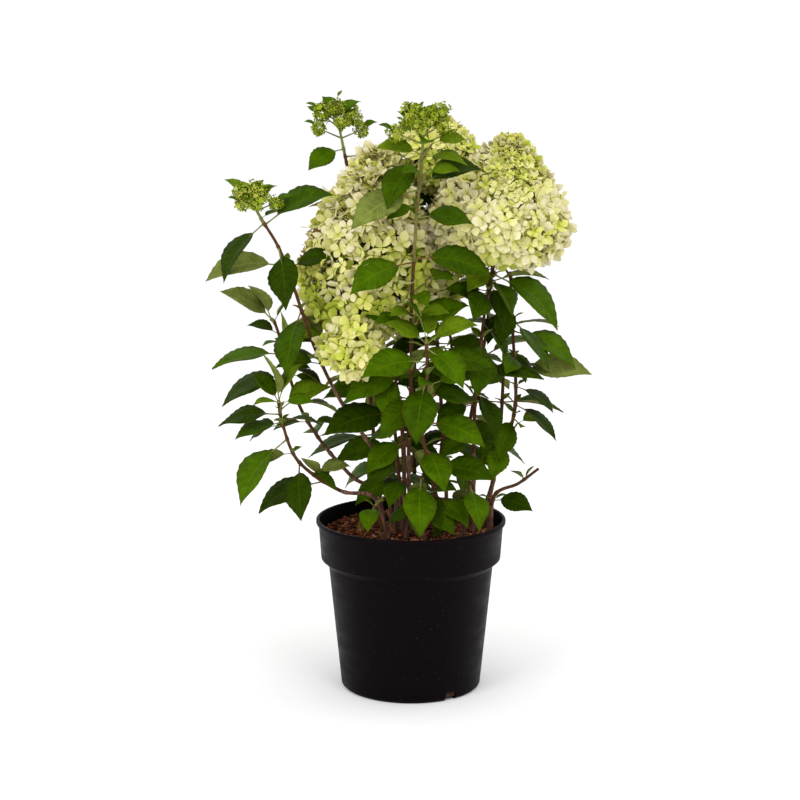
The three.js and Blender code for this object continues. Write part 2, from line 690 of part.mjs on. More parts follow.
// The potting soil fills the pot up to a little below the rim.
function soilSolid() {
  const stepTop = POT_HEIGHT - BAND_HEIGHT;
  const inset = WALL + 2 * GAP;
  return turned([
    [0, FLOOR + GAP],
    [BASE_RADIUS - inset, FLOOR + GAP],
    [BODY_RADIUS - inset, stepTop - STEP_HEIGHT],
    [BAND_FOOT_RADIUS - inset, stepTop],
    [BAND_FOOT_RADIUS - inset, SOIL_TOP],
    [0, SOIL_TOP],
  ]);
}

const FINISHES = {
  pot: { color: 0x1c1a1d, roughness: 0.38, metalness: 0 },
  soil: { color: 0x5a3222, roughness: 0.95, metalness: 0 },
  stem: { color: 0x6b4630, roughness: 0.75, metalness: 0 },
  leaves: { color: 0x35581c, roughness: 0.5, metalness: 0 },
  bloom: { color: 0xd4dcaa, roughness: 0.7, metalness: 0 },
  buds: { color: 0x7f9a3c, roughness: 0.7, metalness: 0 },
};

const plant = new THREE.Group();

function addNode(name, solid, finish) {
  const mesh = new THREE.Mesh(toGeometry(solid), new THREE.MeshStandardMaterial(FINISHES[finish]));
  mesh.name = name;
  plant.add(mesh);
}

// The stems, flower heads and buds take their places first, and then the leaves find room.
addNode('pot', potSolid(), 'pot');
addNode('soil', soilSolid(), 'soil');
for (const shoot of SHOOTS) {
  const stem = bareStem(shoot);
  addNode(`stem_${shoot.name}`, stem, 'stem');
  keepSpace(shoot.name, stem);
  keepSpace(shoot.name, leafyStem(shoot));
}
for (const head of HEADS) {
  keepSpace(`bloom_${head.name}`, headBody(head, CORE_INSET - GAP));
}
for (const head of HEADS) {
  addNode(`bloom_${head.name}`, flowerHead(head), 'bloom');
  keepSpace(`bloom_${head.name}`, headBody(head, -HEAD_MARGIN));
}
for (const bud of BUDS) {
  const solid = budHead(bud);
  addNode(`buds_${bud.name}`, solid, 'buds');
  keepSpace(`buds_${bud.name}`, solid);
}
for (const shoot of SHOOTS) {
  addNode(`leaves_${shoot.name}`, leafMass(shoot), 'leaves');
}

export default plant;
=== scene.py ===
"""A panicle hydrangea in its nursery pot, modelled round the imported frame, in metres."""
import math

import bpy
import numpy as np
from mathutils import Matrix, Vector, noise
from mathutils.kdtree import KDTree


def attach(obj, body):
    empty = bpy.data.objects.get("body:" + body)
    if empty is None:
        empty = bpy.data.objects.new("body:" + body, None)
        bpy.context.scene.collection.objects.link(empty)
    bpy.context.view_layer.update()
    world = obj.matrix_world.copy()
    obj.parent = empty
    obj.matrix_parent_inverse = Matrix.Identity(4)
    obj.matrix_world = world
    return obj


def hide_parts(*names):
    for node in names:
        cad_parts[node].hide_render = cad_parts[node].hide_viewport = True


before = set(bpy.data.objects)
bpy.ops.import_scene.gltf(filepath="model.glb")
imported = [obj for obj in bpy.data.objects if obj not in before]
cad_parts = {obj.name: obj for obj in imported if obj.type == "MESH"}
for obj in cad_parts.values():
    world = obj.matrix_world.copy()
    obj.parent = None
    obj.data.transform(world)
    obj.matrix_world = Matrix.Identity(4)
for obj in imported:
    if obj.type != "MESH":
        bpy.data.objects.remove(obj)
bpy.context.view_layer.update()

MM = 0.001


# The pot is injection moulded in black polypropylene. A deeper band and a bead stiffen its
# rim, and water drains through notches in its base edge.
def deselect_all():
    if bpy.context.mode != "OBJECT":
        bpy.ops.object.mode_set(mode="OBJECT")
    bpy.ops.object.select_all(action="DESELECT")


def turned_piece(name, sides, radius, height, rings):
    """A closed round piece: a disc drawn out through rings of (radius, height), in millimetres."""
    deselect_all()
    bpy.ops.mesh.primitive_circle_add(
        vertices=sides, radius=radius * MM, fill_type="NGON", location=(0, 0, height * MM))
    piece = bpy.context.object
    piece.name = name
    bpy.ops.object.transform_apply(location=True, rotation=True, scale=True)
    bpy.ops.object.mode_set(mode="EDIT")
    bpy.ops.mesh.select_all(action="SELECT")
    for next_radius, next_height in rings:
        bpy.ops.mesh.extrude_region_move(
            TRANSFORM_OT_translate={"value": (0, 0, (next_height - height) * MM)})
        scale = next_radius / radius
        bpy.ops.transform.resize(value=(scale, scale, 1))
        radius, height = next_radius, next_height
    bpy.ops.mesh.select_all(action="SELECT")
    bpy.ops.mesh.normals_make_consistent(inside=False)
    bpy.ops.object.mode_set(mode="OBJECT")
    return piece


def apply_modifier(piece, kind, **settings):
    modifier = piece.modifiers.new(kind.lower(), kind)
    for name, value in settings.items():
        setattr(modifier, name, value)
    bpy.context.view_layer.objects.active = piece
    bpy.ops.object.modifier_apply(modifier=modifier.name)


POT_SIDES = 128
POT_HEIGHT, WALL, FLOOR, LIP = 208, 2.2, 3, 1
RIM_RADIUS, BAND_TOP_RADIUS, BAND_FOOT_RADIUS = 115, 112, 109
BODY_RADIUS, BASE_RADIUS, BASE_EDGE = 100, 85, 3
BAND_FOOT, STEP_FOOT, BEAD_FOOT, BEAD_SLOPE = 160, 152, 202, 1.5
pot = turned_piece("nursery_pot", POT_SIDES, BASE_RADIUS - BASE_EDGE, 0, [
    (BASE_RADIUS, BASE_EDGE), (BODY_RADIUS, STEP_FOOT), (BAND_FOOT_RADIUS, BAND_FOOT),
    (BAND_TOP_RADIUS, BEAD_FOOT), (RIM_RADIUS, BEAD_FOOT + BEAD_SLOPE), (RIM_RADIUS, POT_HEIGHT - LIP),
    (RIM_RADIUS - LIP, POT_HEIGHT), (BAND_TOP_RADIUS - LIP, POT_HEIGHT),
    (BAND_FOOT_RADIUS - WALL, BAND_FOOT), (BODY_RADIUS - WALL, STEP_FOOT),
    (BASE_RADIUS - WALL, FLOOR)])

NOTCH_WIDTH, NOTCH_HEIGHT, NOTCH_DEPTH, NOTCH_HEADING = 14.5, 10, 9, 304
for turn in (0, 180):
    heading = math.radians(NOTCH_HEADING + turn)
    deselect_all()
    bpy.ops.mesh.primitive_cube_add(
        size=1, location=(BASE_RADIUS * MM * math.cos(heading), BASE_RADIUS * MM * math.sin(heading), 0),
        rotation=(0, 0, heading), scale=(2 * NOTCH_DEPTH * MM, NOTCH_WIDTH * MM, 2 * NOTCH_HEIGHT * MM))
    cutter = bpy.context.object
    apply_modifier(pot, "BOOLEAN", object=cutter, operation="DIFFERENCE", solver="EXACT")
    bpy.data.objects.remove(cutter)
EDGE_ROUND, ROUNDED_FROM, SMOOTH_UP_TO = 0.7, 28, 32
apply_modifier(pot, "BEVEL", width=EDGE_ROUND * MM, segments=3, limit_method="ANGLE",
               angle_limit=math.radians(ROUNDED_FROM))
pot.select_set(True)
bpy.ops.object.shade_smooth_by_angle(angle=math.radians(SMOOTH_UP_TO))


def new_material(name, base, roughness, gloss=0.5):
    """A material with its main shader ready: returns the material, its nodes, links and shader."""
    material = bpy.data.materials.new(name)
    material.use_nodes = True
    tree = material.node_tree
    shader = tree.nodes["Principled BSDF"]
    shader.inputs["Base Color"].default_value = (*base, 1)
    shader.inputs["Roughness"].default_value = roughness
    shader.inputs["Specular IOR Level"].default_value = gloss
    return material, tree.nodes, tree.links, shader


def object_noise(nodes, links, scale, detail, stretch=(1, 1, 1)):
    """Noise on the piece's own coordinates, finer along an axis with a larger stretch."""
    place = nodes.new("ShaderNodeTexCoord")
    mapping = nodes.new("ShaderNodeMapping")
    mapping.inputs["Scale"].default_value = stretch
    links.new(place.outputs["Object"], mapping.inputs["Vector"])
    texture = nodes.new("ShaderNodeTexNoise")
    texture.inputs["Scale"].default_value = scale
    texture.inputs["Detail"].default_value = detail
    links.new(mapping.outputs["Vector"], texture.inputs["Vector"])
    return texture.outputs["Fac"]


def colour_ramp(nodes, links, value, stops):
    """Colours along a value, from stops of (place, red, green, blue)."""
    ramp = nodes.new("ShaderNodeValToRGB")
    band = ramp.color_ramp
    while len(band.elements) < len(stops):
        band.elements.new(0.5)
    for element, (place, *colour) in zip(band.elements, stops):
        element.position = place
        element.color = (*colour, 1)
    links.new(value, ramp.inputs["Fac"])
    return ramp.outputs["Color"]


def add_bump(nodes, links, shader, value, depth, strength=1.0):
    bump = nodes.new("ShaderNodeBump")
    bump.inputs["Distance"].default_value = depth
    bump.inputs["Strength"].default_value = strength
    links.new(value, bump.inputs["Height"])
    links.new(bump.outputs["Normal"], shader.inputs["Normal"])


black_plastic, nodes, links, shader = new_material(
    "black_plastic", (0.012, 0.009, 0.011), 0.3, gloss=0.035)
dust = object_noise(nodes, links, 620, 2)
specks = colour_ramp(nodes, links, dust, [
    (0.0, 0.0022, 0.0012, 0.0018), (0.5, 0.003, 0.0018, 0.0025), (0.735, 0.004, 0.003, 0.0035),
    (0.79, 0.12, 0.10, 0.10)])
links.new(specks, shader.inputs["Base Color"])
scuffs = object_noise(nodes, links, 26, 5, (1, 1, 3.5))
gloss = colour_ramp(nodes, links, scuffs, [(0.3, 0.36, 0.36, 0.36), (0.7, 0.54, 0.54, 0.54)])
links.new(gloss, shader.inputs["Roughness"])
add_bump(nodes, links, shader, object_noise(nodes, links, 180, 2, (1, 1, 0.25)), 0.00006, 0.5)
shader.inputs["Specular Tint"].default_value = (1, 0.86, 0.92, 1)
pot.data.materials.append(black_plastic)
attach(pot, "root")
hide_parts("pot")

# The potting soil is moist bark and coir. It was tipped in and firmed by hand, and it lies a
# finger's width below the rim.
SOIL_TOP, SOIL_INSET, SOIL_FOOT = 192, 2.8, 3.3
SOIL_SIDES, SOIL_RINGS = 96, 34
soil_radius = BAND_FOOT_RADIUS - SOIL_INSET
soil = turned_piece(
    "potting_soil", SOIL_SIDES, BASE_RADIUS - SOIL_INSET, SOIL_FOOT,
    [(BODY_RADIUS - SOIL_INSET, STEP_FOOT), (soil_radius, BAND_FOOT), (soil_radius, SOIL_TOP - 3)]
    + [(soil_radius * (1 - ring / SOIL_RINGS), SOIL_TOP - 2) for ring in range(1, SOIL_RINGS)])
for vertex in soil.data.vertices:
    if vertex.co.z > (SOIL_TOP - 2.5) * MM:
        lump = noise.noise(vertex.co * 55) * 2.2 + noise.noise(vertex.co * 260) * 1.6
        vertex.co.z += (lump - 0.6) * MM
soil.select_set(True)
bpy.ops.object.shade_smooth()


def grained_material(name, base, roughness, grain, stops, depth, strength=1.0, gloss=0.5):
    """A grained surface: one noise gives its colours, from stops along it, and its relief."""
    material, nodes, links, shader = new_material(name, base, roughness, gloss)
    value = object_noise(nodes, links, *grain)
    links.new(colour_ramp(nodes, links, value, stops), shader.inputs["Base Color"])
    add_bump(nodes, links, shader, value, depth, strength)
    return material


soil.data.materials.append(grained_material(
    "dark_soil", (0.03, 0.012, 0.008), 0.95, (240, 6),
    [(0.35, 0.010, 0.005, 0.004), (0.55, 0.045, 0.016, 0.008), (0.72, 0.12, 0.045, 0.02)], 0.0015))
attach(soil, "root")
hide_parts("soil")


# Bark chips, coir fibres and a few white grains lie loose on the soil's surface. They are the
# coarse part of the mix, which watering washes clean.
def seeded(seed):
    """A seeded random number between 0 and 1: the same rule as the plant's solids use."""
    state = (seed * 7919) & 0xFFFFFFFF

    def draw():
        nonlocal state
        state = (state * 1664525 + 1013904223) & 0xFFFFFFFF
        return state / 4294967296
    return draw


class JoinedMesh:
    """Collects many small shapes, and makes one piece of them."""

    def __init__(self):
        self.points = []
        self.faces = []
        self.slots = []
        self.places = []

    def add(self, points, faces, slot=0, places=None):
        """Adds a shape. Its faces share one material slot, or have a list with one for each."""
        start = len(self.points)
        self.points.extend(points)
        self.faces.extend(tuple(start + corner for corner in face) for face in faces)
        self.slots.extend(slot if isinstance(slot, list) else [slot] * len(faces))
        self.places.extend(places if places else [(0.5, 0.5)] * len(points))

    def piece(self, name, materials, smooth=True):
        mesh = bpy.data.meshes.new(name)
        mesh.from_pydata([tuple(c * MM for c in point) for point in self.points], [], self.faces)
        for material in materials:
            mesh.materials.append(material)
        mesh.polygons.foreach_set("material_index", self.slots)
        mesh.polygons.foreach_set("use_smooth", [smooth] * len(self.faces))
        layer = mesh.uv_layers.new(name="place")
        corners = np.empty(len(mesh.loops), dtype=np.int32)
        mesh.loops.foreach_get("vertex_index", corners)
        layer.data.foreach_set("uv", np.array(self.places, dtype=np.float32)[corners].ravel())
        mesh.update()
        made = bpy.data.objects.new(name, mesh)
        bpy.context.scene.collection.objects.link(made)
        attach(made, "root")
        return made


def chip_points(centre, length, width, thickness, heading, tilt, roll):
    """A flat chip with uneven ends: eight corners."""
    turn = Matrix.Rotation(heading, 3, "Z") @ Matrix.Rotation(tilt, 3, "Y") @ Matrix.Rotation(roll, 3, "X")
    corners = []
    for x, y, z in ((-1, -1, -1), (-0.8, 1, -1), (1, 0.6, -1), (0.85, -0.8, -1),
                    (-0.9, -0.8, 1), (-0.7, 0.8, 1), (0.9, 0.5, 1), (0.75, -0.7, 1)):
        corners.append(centre + turn @ Vector((x * length / 2, y * width / 2, z * thickness / 2)))
    return corners


CHIP_FACES = [(0, 1, 2, 3), (4, 7, 6, 5), (0, 4, 5, 1), (1, 5, 6, 2), (2, 6, 7, 3), (3, 7, 4, 0)]
CHIP_COUNT, FIBRE_COUNT, GRAIN_COUNT, CHIP_REACH = 2600, 320, 46, 104
BROWN, WHITE = 1, 4
draw = seeded(5)
chips = JoinedMesh()
for count in range(CHIP_COUNT + FIBRE_COUNT + GRAIN_COUNT):
    reach = CHIP_REACH * math.sqrt(draw())
    angle = 2 * math.pi * draw()
    centre = Vector((reach * math.cos(angle), reach * math.sin(angle), SOIL_TOP - 1 + 2.6 * draw()))
    if count < CHIP_COUNT:
        length = 3 + 9 * draw() ** 2
        size = (length, 1.2 + 0.3 * length * draw(), 0.6 + 0.9 * draw())
        slot = int(WHITE * draw())
    elif count < CHIP_COUNT + FIBRE_COUNT:
        size = (9 + 13 * draw(), 0.5, 0.4)
        slot = BROWN + int((WHITE - BROWN) * draw())
    else:
        size = (1.6 + 1.4 * draw(), 1.6, 1.4)
        slot = WHITE
    chips.add(chip_points(centre, *size, 2 * math.pi * draw(), 0.5 * (draw() - 0.5), 1.2 * (draw() - 0.5)),
              CHIP_FACES, slot)


MATT_GLOSS = 0.04


def plain_material(name, base, roughness, variation=0.25, grain=900):
    """A plain base colour with a fine, faint grain and next to no gloss."""
    low = [c * (1 - variation) for c in base]
    high = [min(1, c * (1 + variation)) for c in base]
    return grained_material(name, base, roughness, (grain, 3), [(0.3, *low), (0.7, *high)],
                            0.0001, 0.4, MATT_GLOSS)


soil_chips = chips.piece("soil_chips", [
    plain_material("bark_dark", (0.028, 0.009, 0.005), 0.9),
    plain_material("bark_brown", (0.09, 0.024, 0.009), 0.9),
    plain_material("bark_red", (0.21, 0.055, 0.02), 0.85),
    plain_material("coir_pale", (0.36, 0.15, 0.07), 0.85),
    plain_material("white_grain", (0.75, 0.72, 0.66), 0.8),
], smooth=False)

# Each stem is a woody cane that rises from the soil and bends with the weight it carries.
# The bark is ridged and reddish brown, with a ringed joint wherever a leaf pair grew.
GROUND = 192.3
STEM_RADIUS, STEM_TIP_RADIUS, FOOT_FLARE = 2.9, 1.9, 1.4
# Each shoot's seed, the bare share of its length, its path up from the soil, and its leaf pairs.
# A pair has its place, heading, pitch and two lengths, and a bank where its leaves are turned.
SHOOTS = {
    "left_outer": (11, 0.5, [
        (-18, -14, GROUND), (-24, -22, 262), (-80, -45, 355), (-114, -55, 429), (-148, -62, 532),
        (-174, -66, 580)], [
        (0.56, 165, -10, 60, 55), (0.72, 252, -48, 92, 70), (0.85, 187, -15, 96, 62),
        (0.905, 278, -60, 84, 0), (0.98, 208, -56, 84, 0), (0.975, 7, 0, 88, 0, -30),
        (0.995, 215, 10, 36, 32)]),
    "left_middle": (12, 0.45, [
        (-22, 4, GROUND), (-31, 2, 237), (-74, -5, 263), (-130, -15, 342), (-158, -25, 442),
        (-166, -25, 456)], [
        (0.5, 100, -10, 75, 50), (0.57, 200, -14, 46, 52), (0.85, 197, -14, 88, 46),
        (0.77, 172, -32, 100, 45), (0.865, 215, 50, 60, 0), (0.98, 190, 24, 76, 42, 36),
        (0.995, 225, 50, 58, 0)]),
    "left_low": (13, 0.4, [
        (-27, -32, GROUND), (-45, -38, 243), (-84, -45, 252), (-132, -60, 290), (-150, -68, 335),
        (-155, -70, 366)], [
        (0.5, 191, -34, 88, 0), (0.53, 200, 33, 46, 0), (0.56, 15, 4, 48, 0, -30), (0.66, 275, -55, 80, 0),
        (0.72, 185, -24, 50, 0), (0.8, 196, -54, 96, 0), (0.87, 200, -20, 64, 0), (0.89, 148, -40, 54, 0),
        (0.93, 188, -16, 78, 0), (0.95, 10, 14, 68, 0, -38), (0.98, 212, 62, 66, 0),
        (0.995, 345, 55, 56, 0)]),
    "centre_front": (14, 0.22, [
        (2, -24, GROUND), (-3, -34, 273), (0, -60, 400), (0, -72, 472), (5, -85, 573), (12, -88, 655)], [
        (0.26, 215, -30, 70, 65), (0.35, 300, -40, 78, 70), (0.45, 195, -12, 90, 90),
        (0.56, 195, 18, 78, 75), (0.65, 285, -20, 50, 60), (0.73, 207, -28, 90, 0), (0.74, 352, -14, 94, 0),
        (0.84, 38, -15, 66, 0), (0.87, 200, -20, 42, 0), (0.91, 203, -30, 98, 0), (0.92, 2, 7, 80, 0, -38),
        (0.985, 222, -50, 78, 0), (0.99, 335, -30, 56, 0, -20), (0.995, 188, 6, 54, 0, 40)]),
    "left_upper": (15, 0.36, [
        (-8, 20, GROUND), (-9, 18, 299), (-20, 34, 353), (-45, 76, 466), (-70, 86, 590), (-82, 82, 650)], [
        (0.42, 110, -15, 85, 60), (0.56, 165, -5, 80, 70), (0.7, 110, 0, 70, 0), (0.84, 160, 0, 62, 40),
        (0.96, 13, 2, 50, 0, -34), (0.995, 215, -32, 60, 0, 40), (0.975, 12, -12, 84, 0, -24)]),
    "left_bloom": (16, 0.2, [
        (-10, 0, GROUND), (-21, 4, 327), (-40, 0, 400), (-58, -2, 434)], [
        (0.26, 230, -30, 70, 60), (0.42, 175, -20, 78, 60), (0.56, 255, -30, 75, 70),
        (0.72, 195, -10, 78, 75), (0.88, 285, -20, 72, 75)]),
    "left_small": (17, 0.22, [
        (-6, -40, GROUND), (-12, -44, 340), (-24, -58, 410), (-36, -70, 428)], [
        (0.3, 250, -25, 60, 55), (0.48, 215, -30, 74, 60), (0.62, 193, -14, 102, 0),
        (0.66, 330, -25, 70, 60), (0.84, 255, -45, 66, 0)]),
    "back_top": (18, 0.24, [
        (44, 20, GROUND), (42, 24, 262), (32, 34, 417), (28, 38, 500), (28, 42, 560), (26, 48, 600)], [
        (0.3, 350, -15, 75, 75), (0.42, 80, -15, 85, 70), (0.55, 350, -20, 70, 70), (0.7, 80, -10, 60, 0),
        (0.86, 70, -32, 62, 62), (0.93, 140, -10, 56, 0, 56), (0.97, 14, 50, 88, 0, -50),
        (0.98, 215, 45, 55, 0)]),
    "centre_back": (19, 0.3, [
        (24, 42, GROUND), (46, 52, 343), (50, 66, 410), (36, 80, 455)], [
        (0.36, 150, -20, 80, 75), (0.55, 60, -15, 80, 70), (0.75, 150, -5, 75, 75),
        (0.92, 60, -10, 70, 60)]),
    "centre_right": (20, 0.14, [
        (38, -24, GROUND), (24, -44, 276), (12, -80, 335), (18, -97, 400), (17, -100, 443)], [
        (0.2, 325, -35, 66, 60), (0.34, 345, -15, 82, 74), (0.48, 290, -40, 80, 70),
        (0.62, 340, -25, 84, 76), (0.74, 215, -30, 80, 70), (0.83, 250, -60, 84, 68),
        (0.9, 195, -15, 86, 82), (0.96, 305, -35, 76, 50), (0.98, 345, 20, 66, 54), (1, 215, 55, 56, 48)]),
    "right_bloom": (21, 0.3, [
        (76, -6, GROUND), (76, -8, 335), (83, -18, 427), (90, -10, 480), (98, -2, 518)], [
        (0.36, 215, -25, 58, 72), (0.48, 205, -25, 62, 70), (0.53, 300, -55, 72, 0),
        (0.6, 200, -10, 84, 84), (0.72, 270, -40, 98, 75), (0.84, 205, 25, 66, 72), (0.9, 212, -35, 74, 0),
        (0.95, 285, -38, 75, 70), (0.965, 2, -42, 108, 0, -34), (0.985, 232, -42, 60, 0)]),
    "right_back": (22, 0.3, [
        (84, 34, GROUND), (106, 38, 271), (114, 60, 404), (108, 74, 480)], [
        (0.38, 60, -20, 80, 60), (0.52, 340, -15, 80, 75), (0.68, 65, -15, 80, 75),
        (0.83, 345, -5, 74, 70), (0.98, 50, 15, 64, 60)]),
    "right_outer": (23, 0.3, [
        (90, 14, GROUND), (104, 12, 268), (125, 0, 344), (121, 0, 443), (118, 5, 508)], [
        (0.36, 240, -50, 64, 0), (0.46, 245, -52, 66, 0), (0.5, 326, -42, 66, 0), (0.57, 337, -32, 58, 0),
        (0.62, 352, -6, 94, 60, -36), (0.68, 260, -38, 72, 70), (0.78, 345, -62, 104, 0, -26),
        (0.82, 303, -56, 84, 0), (0.9, 250, -58, 64, 0), (0.98, 30, -48, 58, 0), (0.995, 223, -34, 54, 0)]),
    "right_low": (24, 0.3, [
        (96, -10, GROUND), (101, -6, 237), (130, -2, 251), (154, -5, 270)], [
        (0.36, 318, -6, 58, 0, -46), (0.45, 150, 10, 40, 0), (0.8, 330, 20, 24, 22)]),
    "back_left": (25, 0.14, [
        (-34, 34, GROUND), (-46, 62, 300), (-56, 104, 430), (-58, 130, 500)], [
        (0.2, 120, -30, 75, 60), (0.34, 200, -20, 85, 75), (0.48, 110, -20, 85, 75),
        (0.64, 190, -10, 84, 80), (0.8, 105, -10, 80, 75), (0.94, 190, 0, 74, 70)]),
    "back_middle": (26, 0.14, [
        (6, 54, GROUND), (4, 82, 300), (6, 124, 400), (8, 148, 476)], [
        (0.2, 150, -30, 75, 60), (0.34, 70, -30, 85, 75), (0.5, 150, -20, 85, 80),
        (0.68, 65, -15, 84, 75), (0.85, 150, 5, 74, 70), (0.98, 70, 40, 54, 54)]),
    "back_right": (27, 0.14, [
        (60, 56, GROUND), (72, 80, 300), (95, 116, 420), (102, 134, 498)], [
        (0.2, 90, -30, 75, 60), (0.34, 20, -20, 85, 75), (0.48, 100, -20, 85, 75),
        (0.64, 15, -10, 84, 80), (0.8, 95, -10, 80, 75), (0.94, 10, 0, 74, 70)]),
    "low_back": (31, 0.3, [
        (26, 82, GROUND), (28, 92, 232), (24, 104, 266)], [
        (0.55, 10, -20, 64, 60), (0.95, 80, -35, 78, 60)]),
    "low_front": (28, 0.3, [
        (16, -46, GROUND), (12, -56, 232), (12, -62, 274)], [
        (0.5, 330, -30, 56, 50), (0.72, 285, -60, 84, 60), (0.97, 262, -50, 86, 66)]),
    "low_right": (29, 0.3, [
        (62, -34, GROUND), (66, -42, 232), (70, -48, 264)], [
        (0.55, 220, -35, 60, 55), (0.95, 285, -58, 70, 62)]),
    "low_left": (30, 0.3, [
        (-32, -56, GROUND), (-36, -62, 215), (-44, -66, 240)], [
        (0.6, 235, -15, 40, 0), (0.96, 262, -46, 52, 0)]),
}


def spline_point(points, share):
    """A point on the smooth curve through points, at a share of its spans."""
    spans = len(points) - 1
    span = min(int(share * spans), spans - 1)
    t = share * spans - span
    before = points[span - 1] if span > 0 else 2 * points[0] - points[1]
    after = points[span + 2] if span + 2 <= spans else 2 * points[-1] - points[-2]
    v0 = (points[span + 1] - before) * 0.5
    v1 = (after - points[span]) * 0.5
    rise = points[span + 1] - points[span]
    return points[span] + v0 * t + (3 * rise - 2 * v0 - v1) * t * t + (v0 + v1 - 2 * rise) * t ** 3


class Curve:
    """A stem's middle line, read by its share of length, as the solids read it."""
    STEPS = 200

    def __init__(self, path):
        self.points = [Vector(point) for point in path]
        laid = [spline_point(self.points, i / self.STEPS) for i in range(self.STEPS + 1)]
        self.lengths = [0.0]
        for a, b in zip(laid, laid[1:]):
            self.lengths.append(self.lengths[-1] + (b - a).length)
        self.length = self.lengths[-1]

    def at(self, along):
        target = along * self.length
        share = np.interp(target, self.lengths, np.linspace(0, 1, self.STEPS + 1))
        return spline_point(self.points, float(share))

    def direction(self, along):
        low, high = max(0.0, along - 1e-4), min(1.0, along + 1e-4)
        return (self.at(high) - self.at(low)).normalized()


def tube(joined, centres, radii, sides, slots=0, close=True):
    """A round skin along centres, in one slot or with a slot for each ring. Its rings turn as
    little as they can."""
    across = Vector((1, 0, 0))
    points, faces, places = [], [], []
    count = len(centres)
    for row, centre in enumerate(centres):
        ahead = centres[min(row + 1, count - 1)] - centres[max(row - 1, 0)]
        other = ahead.normalized().cross(across).normalized()
        across = other.cross(ahead.normalized()).normalized()
        for side in range(sides):
            angle = 2 * math.pi * side / sides
            radius = radii[row] if isinstance(radii[row], float) else radii[row][side]
            points.append(centre + (across * math.cos(angle) + other * math.sin(angle)) * radius)
            places.append((side / sides, row / count))
    for row in range(count - 1):
        for side in range(sides):
            after = (side + 1) % sides
            faces.append((row * sides + side, row * sides + after,
                          (row + 1) * sides + after, (row + 1) * sides + side))
    if close:
        faces.append(tuple(range(sides))[::-1])
        faces.append(tuple(range((count - 1) * sides, count * sides)))
    if isinstance(slots, list):
        ends = [slots[0], slots[count - 2]] if close else []
        slots = [slot for slot in slots[:count - 1] for _ in range(sides)] + ends
    joined.add(points, faces, slots, places)


CANE_SIDES, CANE_STEP, CANE_RIDGES, SLIM, FLARE_REACH = 12, 2.5, 5, 0.88, 6
JOINT_SWELL, JOINT_REACH, OLD_RELIEF, YOUNG_RELIEF = 0.7, 2.2, 0.32, 0.12
BARE_JOINTS = (0.3, 0.62, 0.93)
OLD, YOUNG, GREEN = range(3)
# The bark ends at a joint, and the stem above it is still green.
GREEN_FROM, FRONT_GREEN_FROM = 0.98, 0.73
curves = {name: Curve(shoot[2]) for name, shoot in SHOOTS.items()}
canes = JoinedMesh()
leafy_canes = JoinedMesh()
for name, (seed, bare, path, pairs) in SHOOTS.items():
    curve = curves[name]
    joints = [along for along, *_ in pairs] + [bare * share for share in BARE_JOINTS]
    green_from = FRONT_GREEN_FROM if name == "centre_front" else GREEN_FROM
    for into, start, end in ((canes, 0.0, bare), (leafy_canes, bare, 1.0)):
        count = max(4, int(curve.length * (end - start) / CANE_STEP))
        centres, radii, slots = [], [], []
        for row in range(count + 1):
            along = start + (end - start) * row / count
            radius = STEM_RADIUS + (STEM_TIP_RADIUS - STEM_RADIUS) * along
            radius *= SLIM + (FOOT_FLARE - SLIM) * math.exp(-along * curve.length / FLARE_REACH)
            for joint in joints:
                away = abs(along - joint) * curve.length
                radius += JOINT_SWELL * math.exp(-(away / JOINT_REACH) ** 2)
            centre = curve.at(along)
            relief = OLD_RELIEF if along < bare else YOUNG_RELIEF
            ring = []
            for side in range(CANE_SIDES):
                angle = side * 2 * math.pi * CANE_RIDGES / CANE_SIDES
                ridge = math.sin(angle + 3 * noise.noise(centre * 0.03))
                knob = noise.noise(Vector((side * 0.9, along * curve.length * 0.11, seed)))
                ring.append(radius + relief * (0.45 * ridge + 0.9 * knob))
            centres.append(centre)
            radii.append(ring)
            slots.append(OLD if along < bare else YOUNG if along < green_from else GREEN)
        tube(into, centres, radii, CANE_SIDES, slots)

old_bark = grained_material(
    "old_bark", (0.12, 0.05, 0.025), 0.75, (420, 5, (1, 1, 0.12)),
    [(0.3, 0.035, 0.014, 0.008), (0.5, 0.12, 0.048, 0.024), (0.72, 0.27, 0.13, 0.07)], 0.0005)
young_bark = plain_material("young_bark", (0.085, 0.038, 0.016), 0.55, 0.35, 300)
green_stem = plain_material("green_stem", (0.17, 0.145, 0.045), 0.5, 0.25, 300)
stems = canes.piece("woody_stems", [old_bark, young_bark, green_stem])
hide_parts(*[f"stem_{name}" for name in SHOOTS])
leafy_stems = leafy_canes.piece("leafy_stems", [old_bark, young_bark, green_stem])

# The leaves grow in opposite pairs. Each one is ovate and toothed, folded along its midrib,
# quilted between its side veins, deep green above and pale beneath, on a short grooved stalk.
LEAF_WIDTH, LEAF_BANK, LEAF_ARCH, STALK_SHARE = 0.46, 42, 38, 0.2
SMALL_LEAF, MIDDLE_DEPTH = 64, 80
SIDE_TWIG_SHARE, SIDE_TWIG_LENGTH, SIDE_LEAF, SIDE_LEAF_TURN = 0.2, 26, 42, 60
HEADING_SCATTER, PITCH_SCATTER, LENGTH_SCATTER, LAST_JOINT = 12, 10, 0.08, 0.995
TURNS = ((0, 0, 1), (0, 14, 1), (0, -14, 1), (18, 0, 1), (-18, 0, 1), (34, 8, 1), (-34, 8, 1),
         (0, 28, 0.85), (22, -10, 0.75), (-22, -10, 0.75))
# Where a large and a small leaf's solid has corners along it, how far they rise off its middle
# line, and how near a corner has to be found.
LARGE_CORNER, SMALL_CORNER, CORNER_RISE, NEAR = 0.28, 0.42, 0.65, 0.6
UP = Vector((0, 0, 1))


def direct(heading, pitch):
    heading, pitch = math.radians(heading), math.radians(pitch)
    return Vector((math.cos(heading) * math.cos(pitch), math.sin(heading) * math.cos(pitch),
                   math.sin(pitch)))


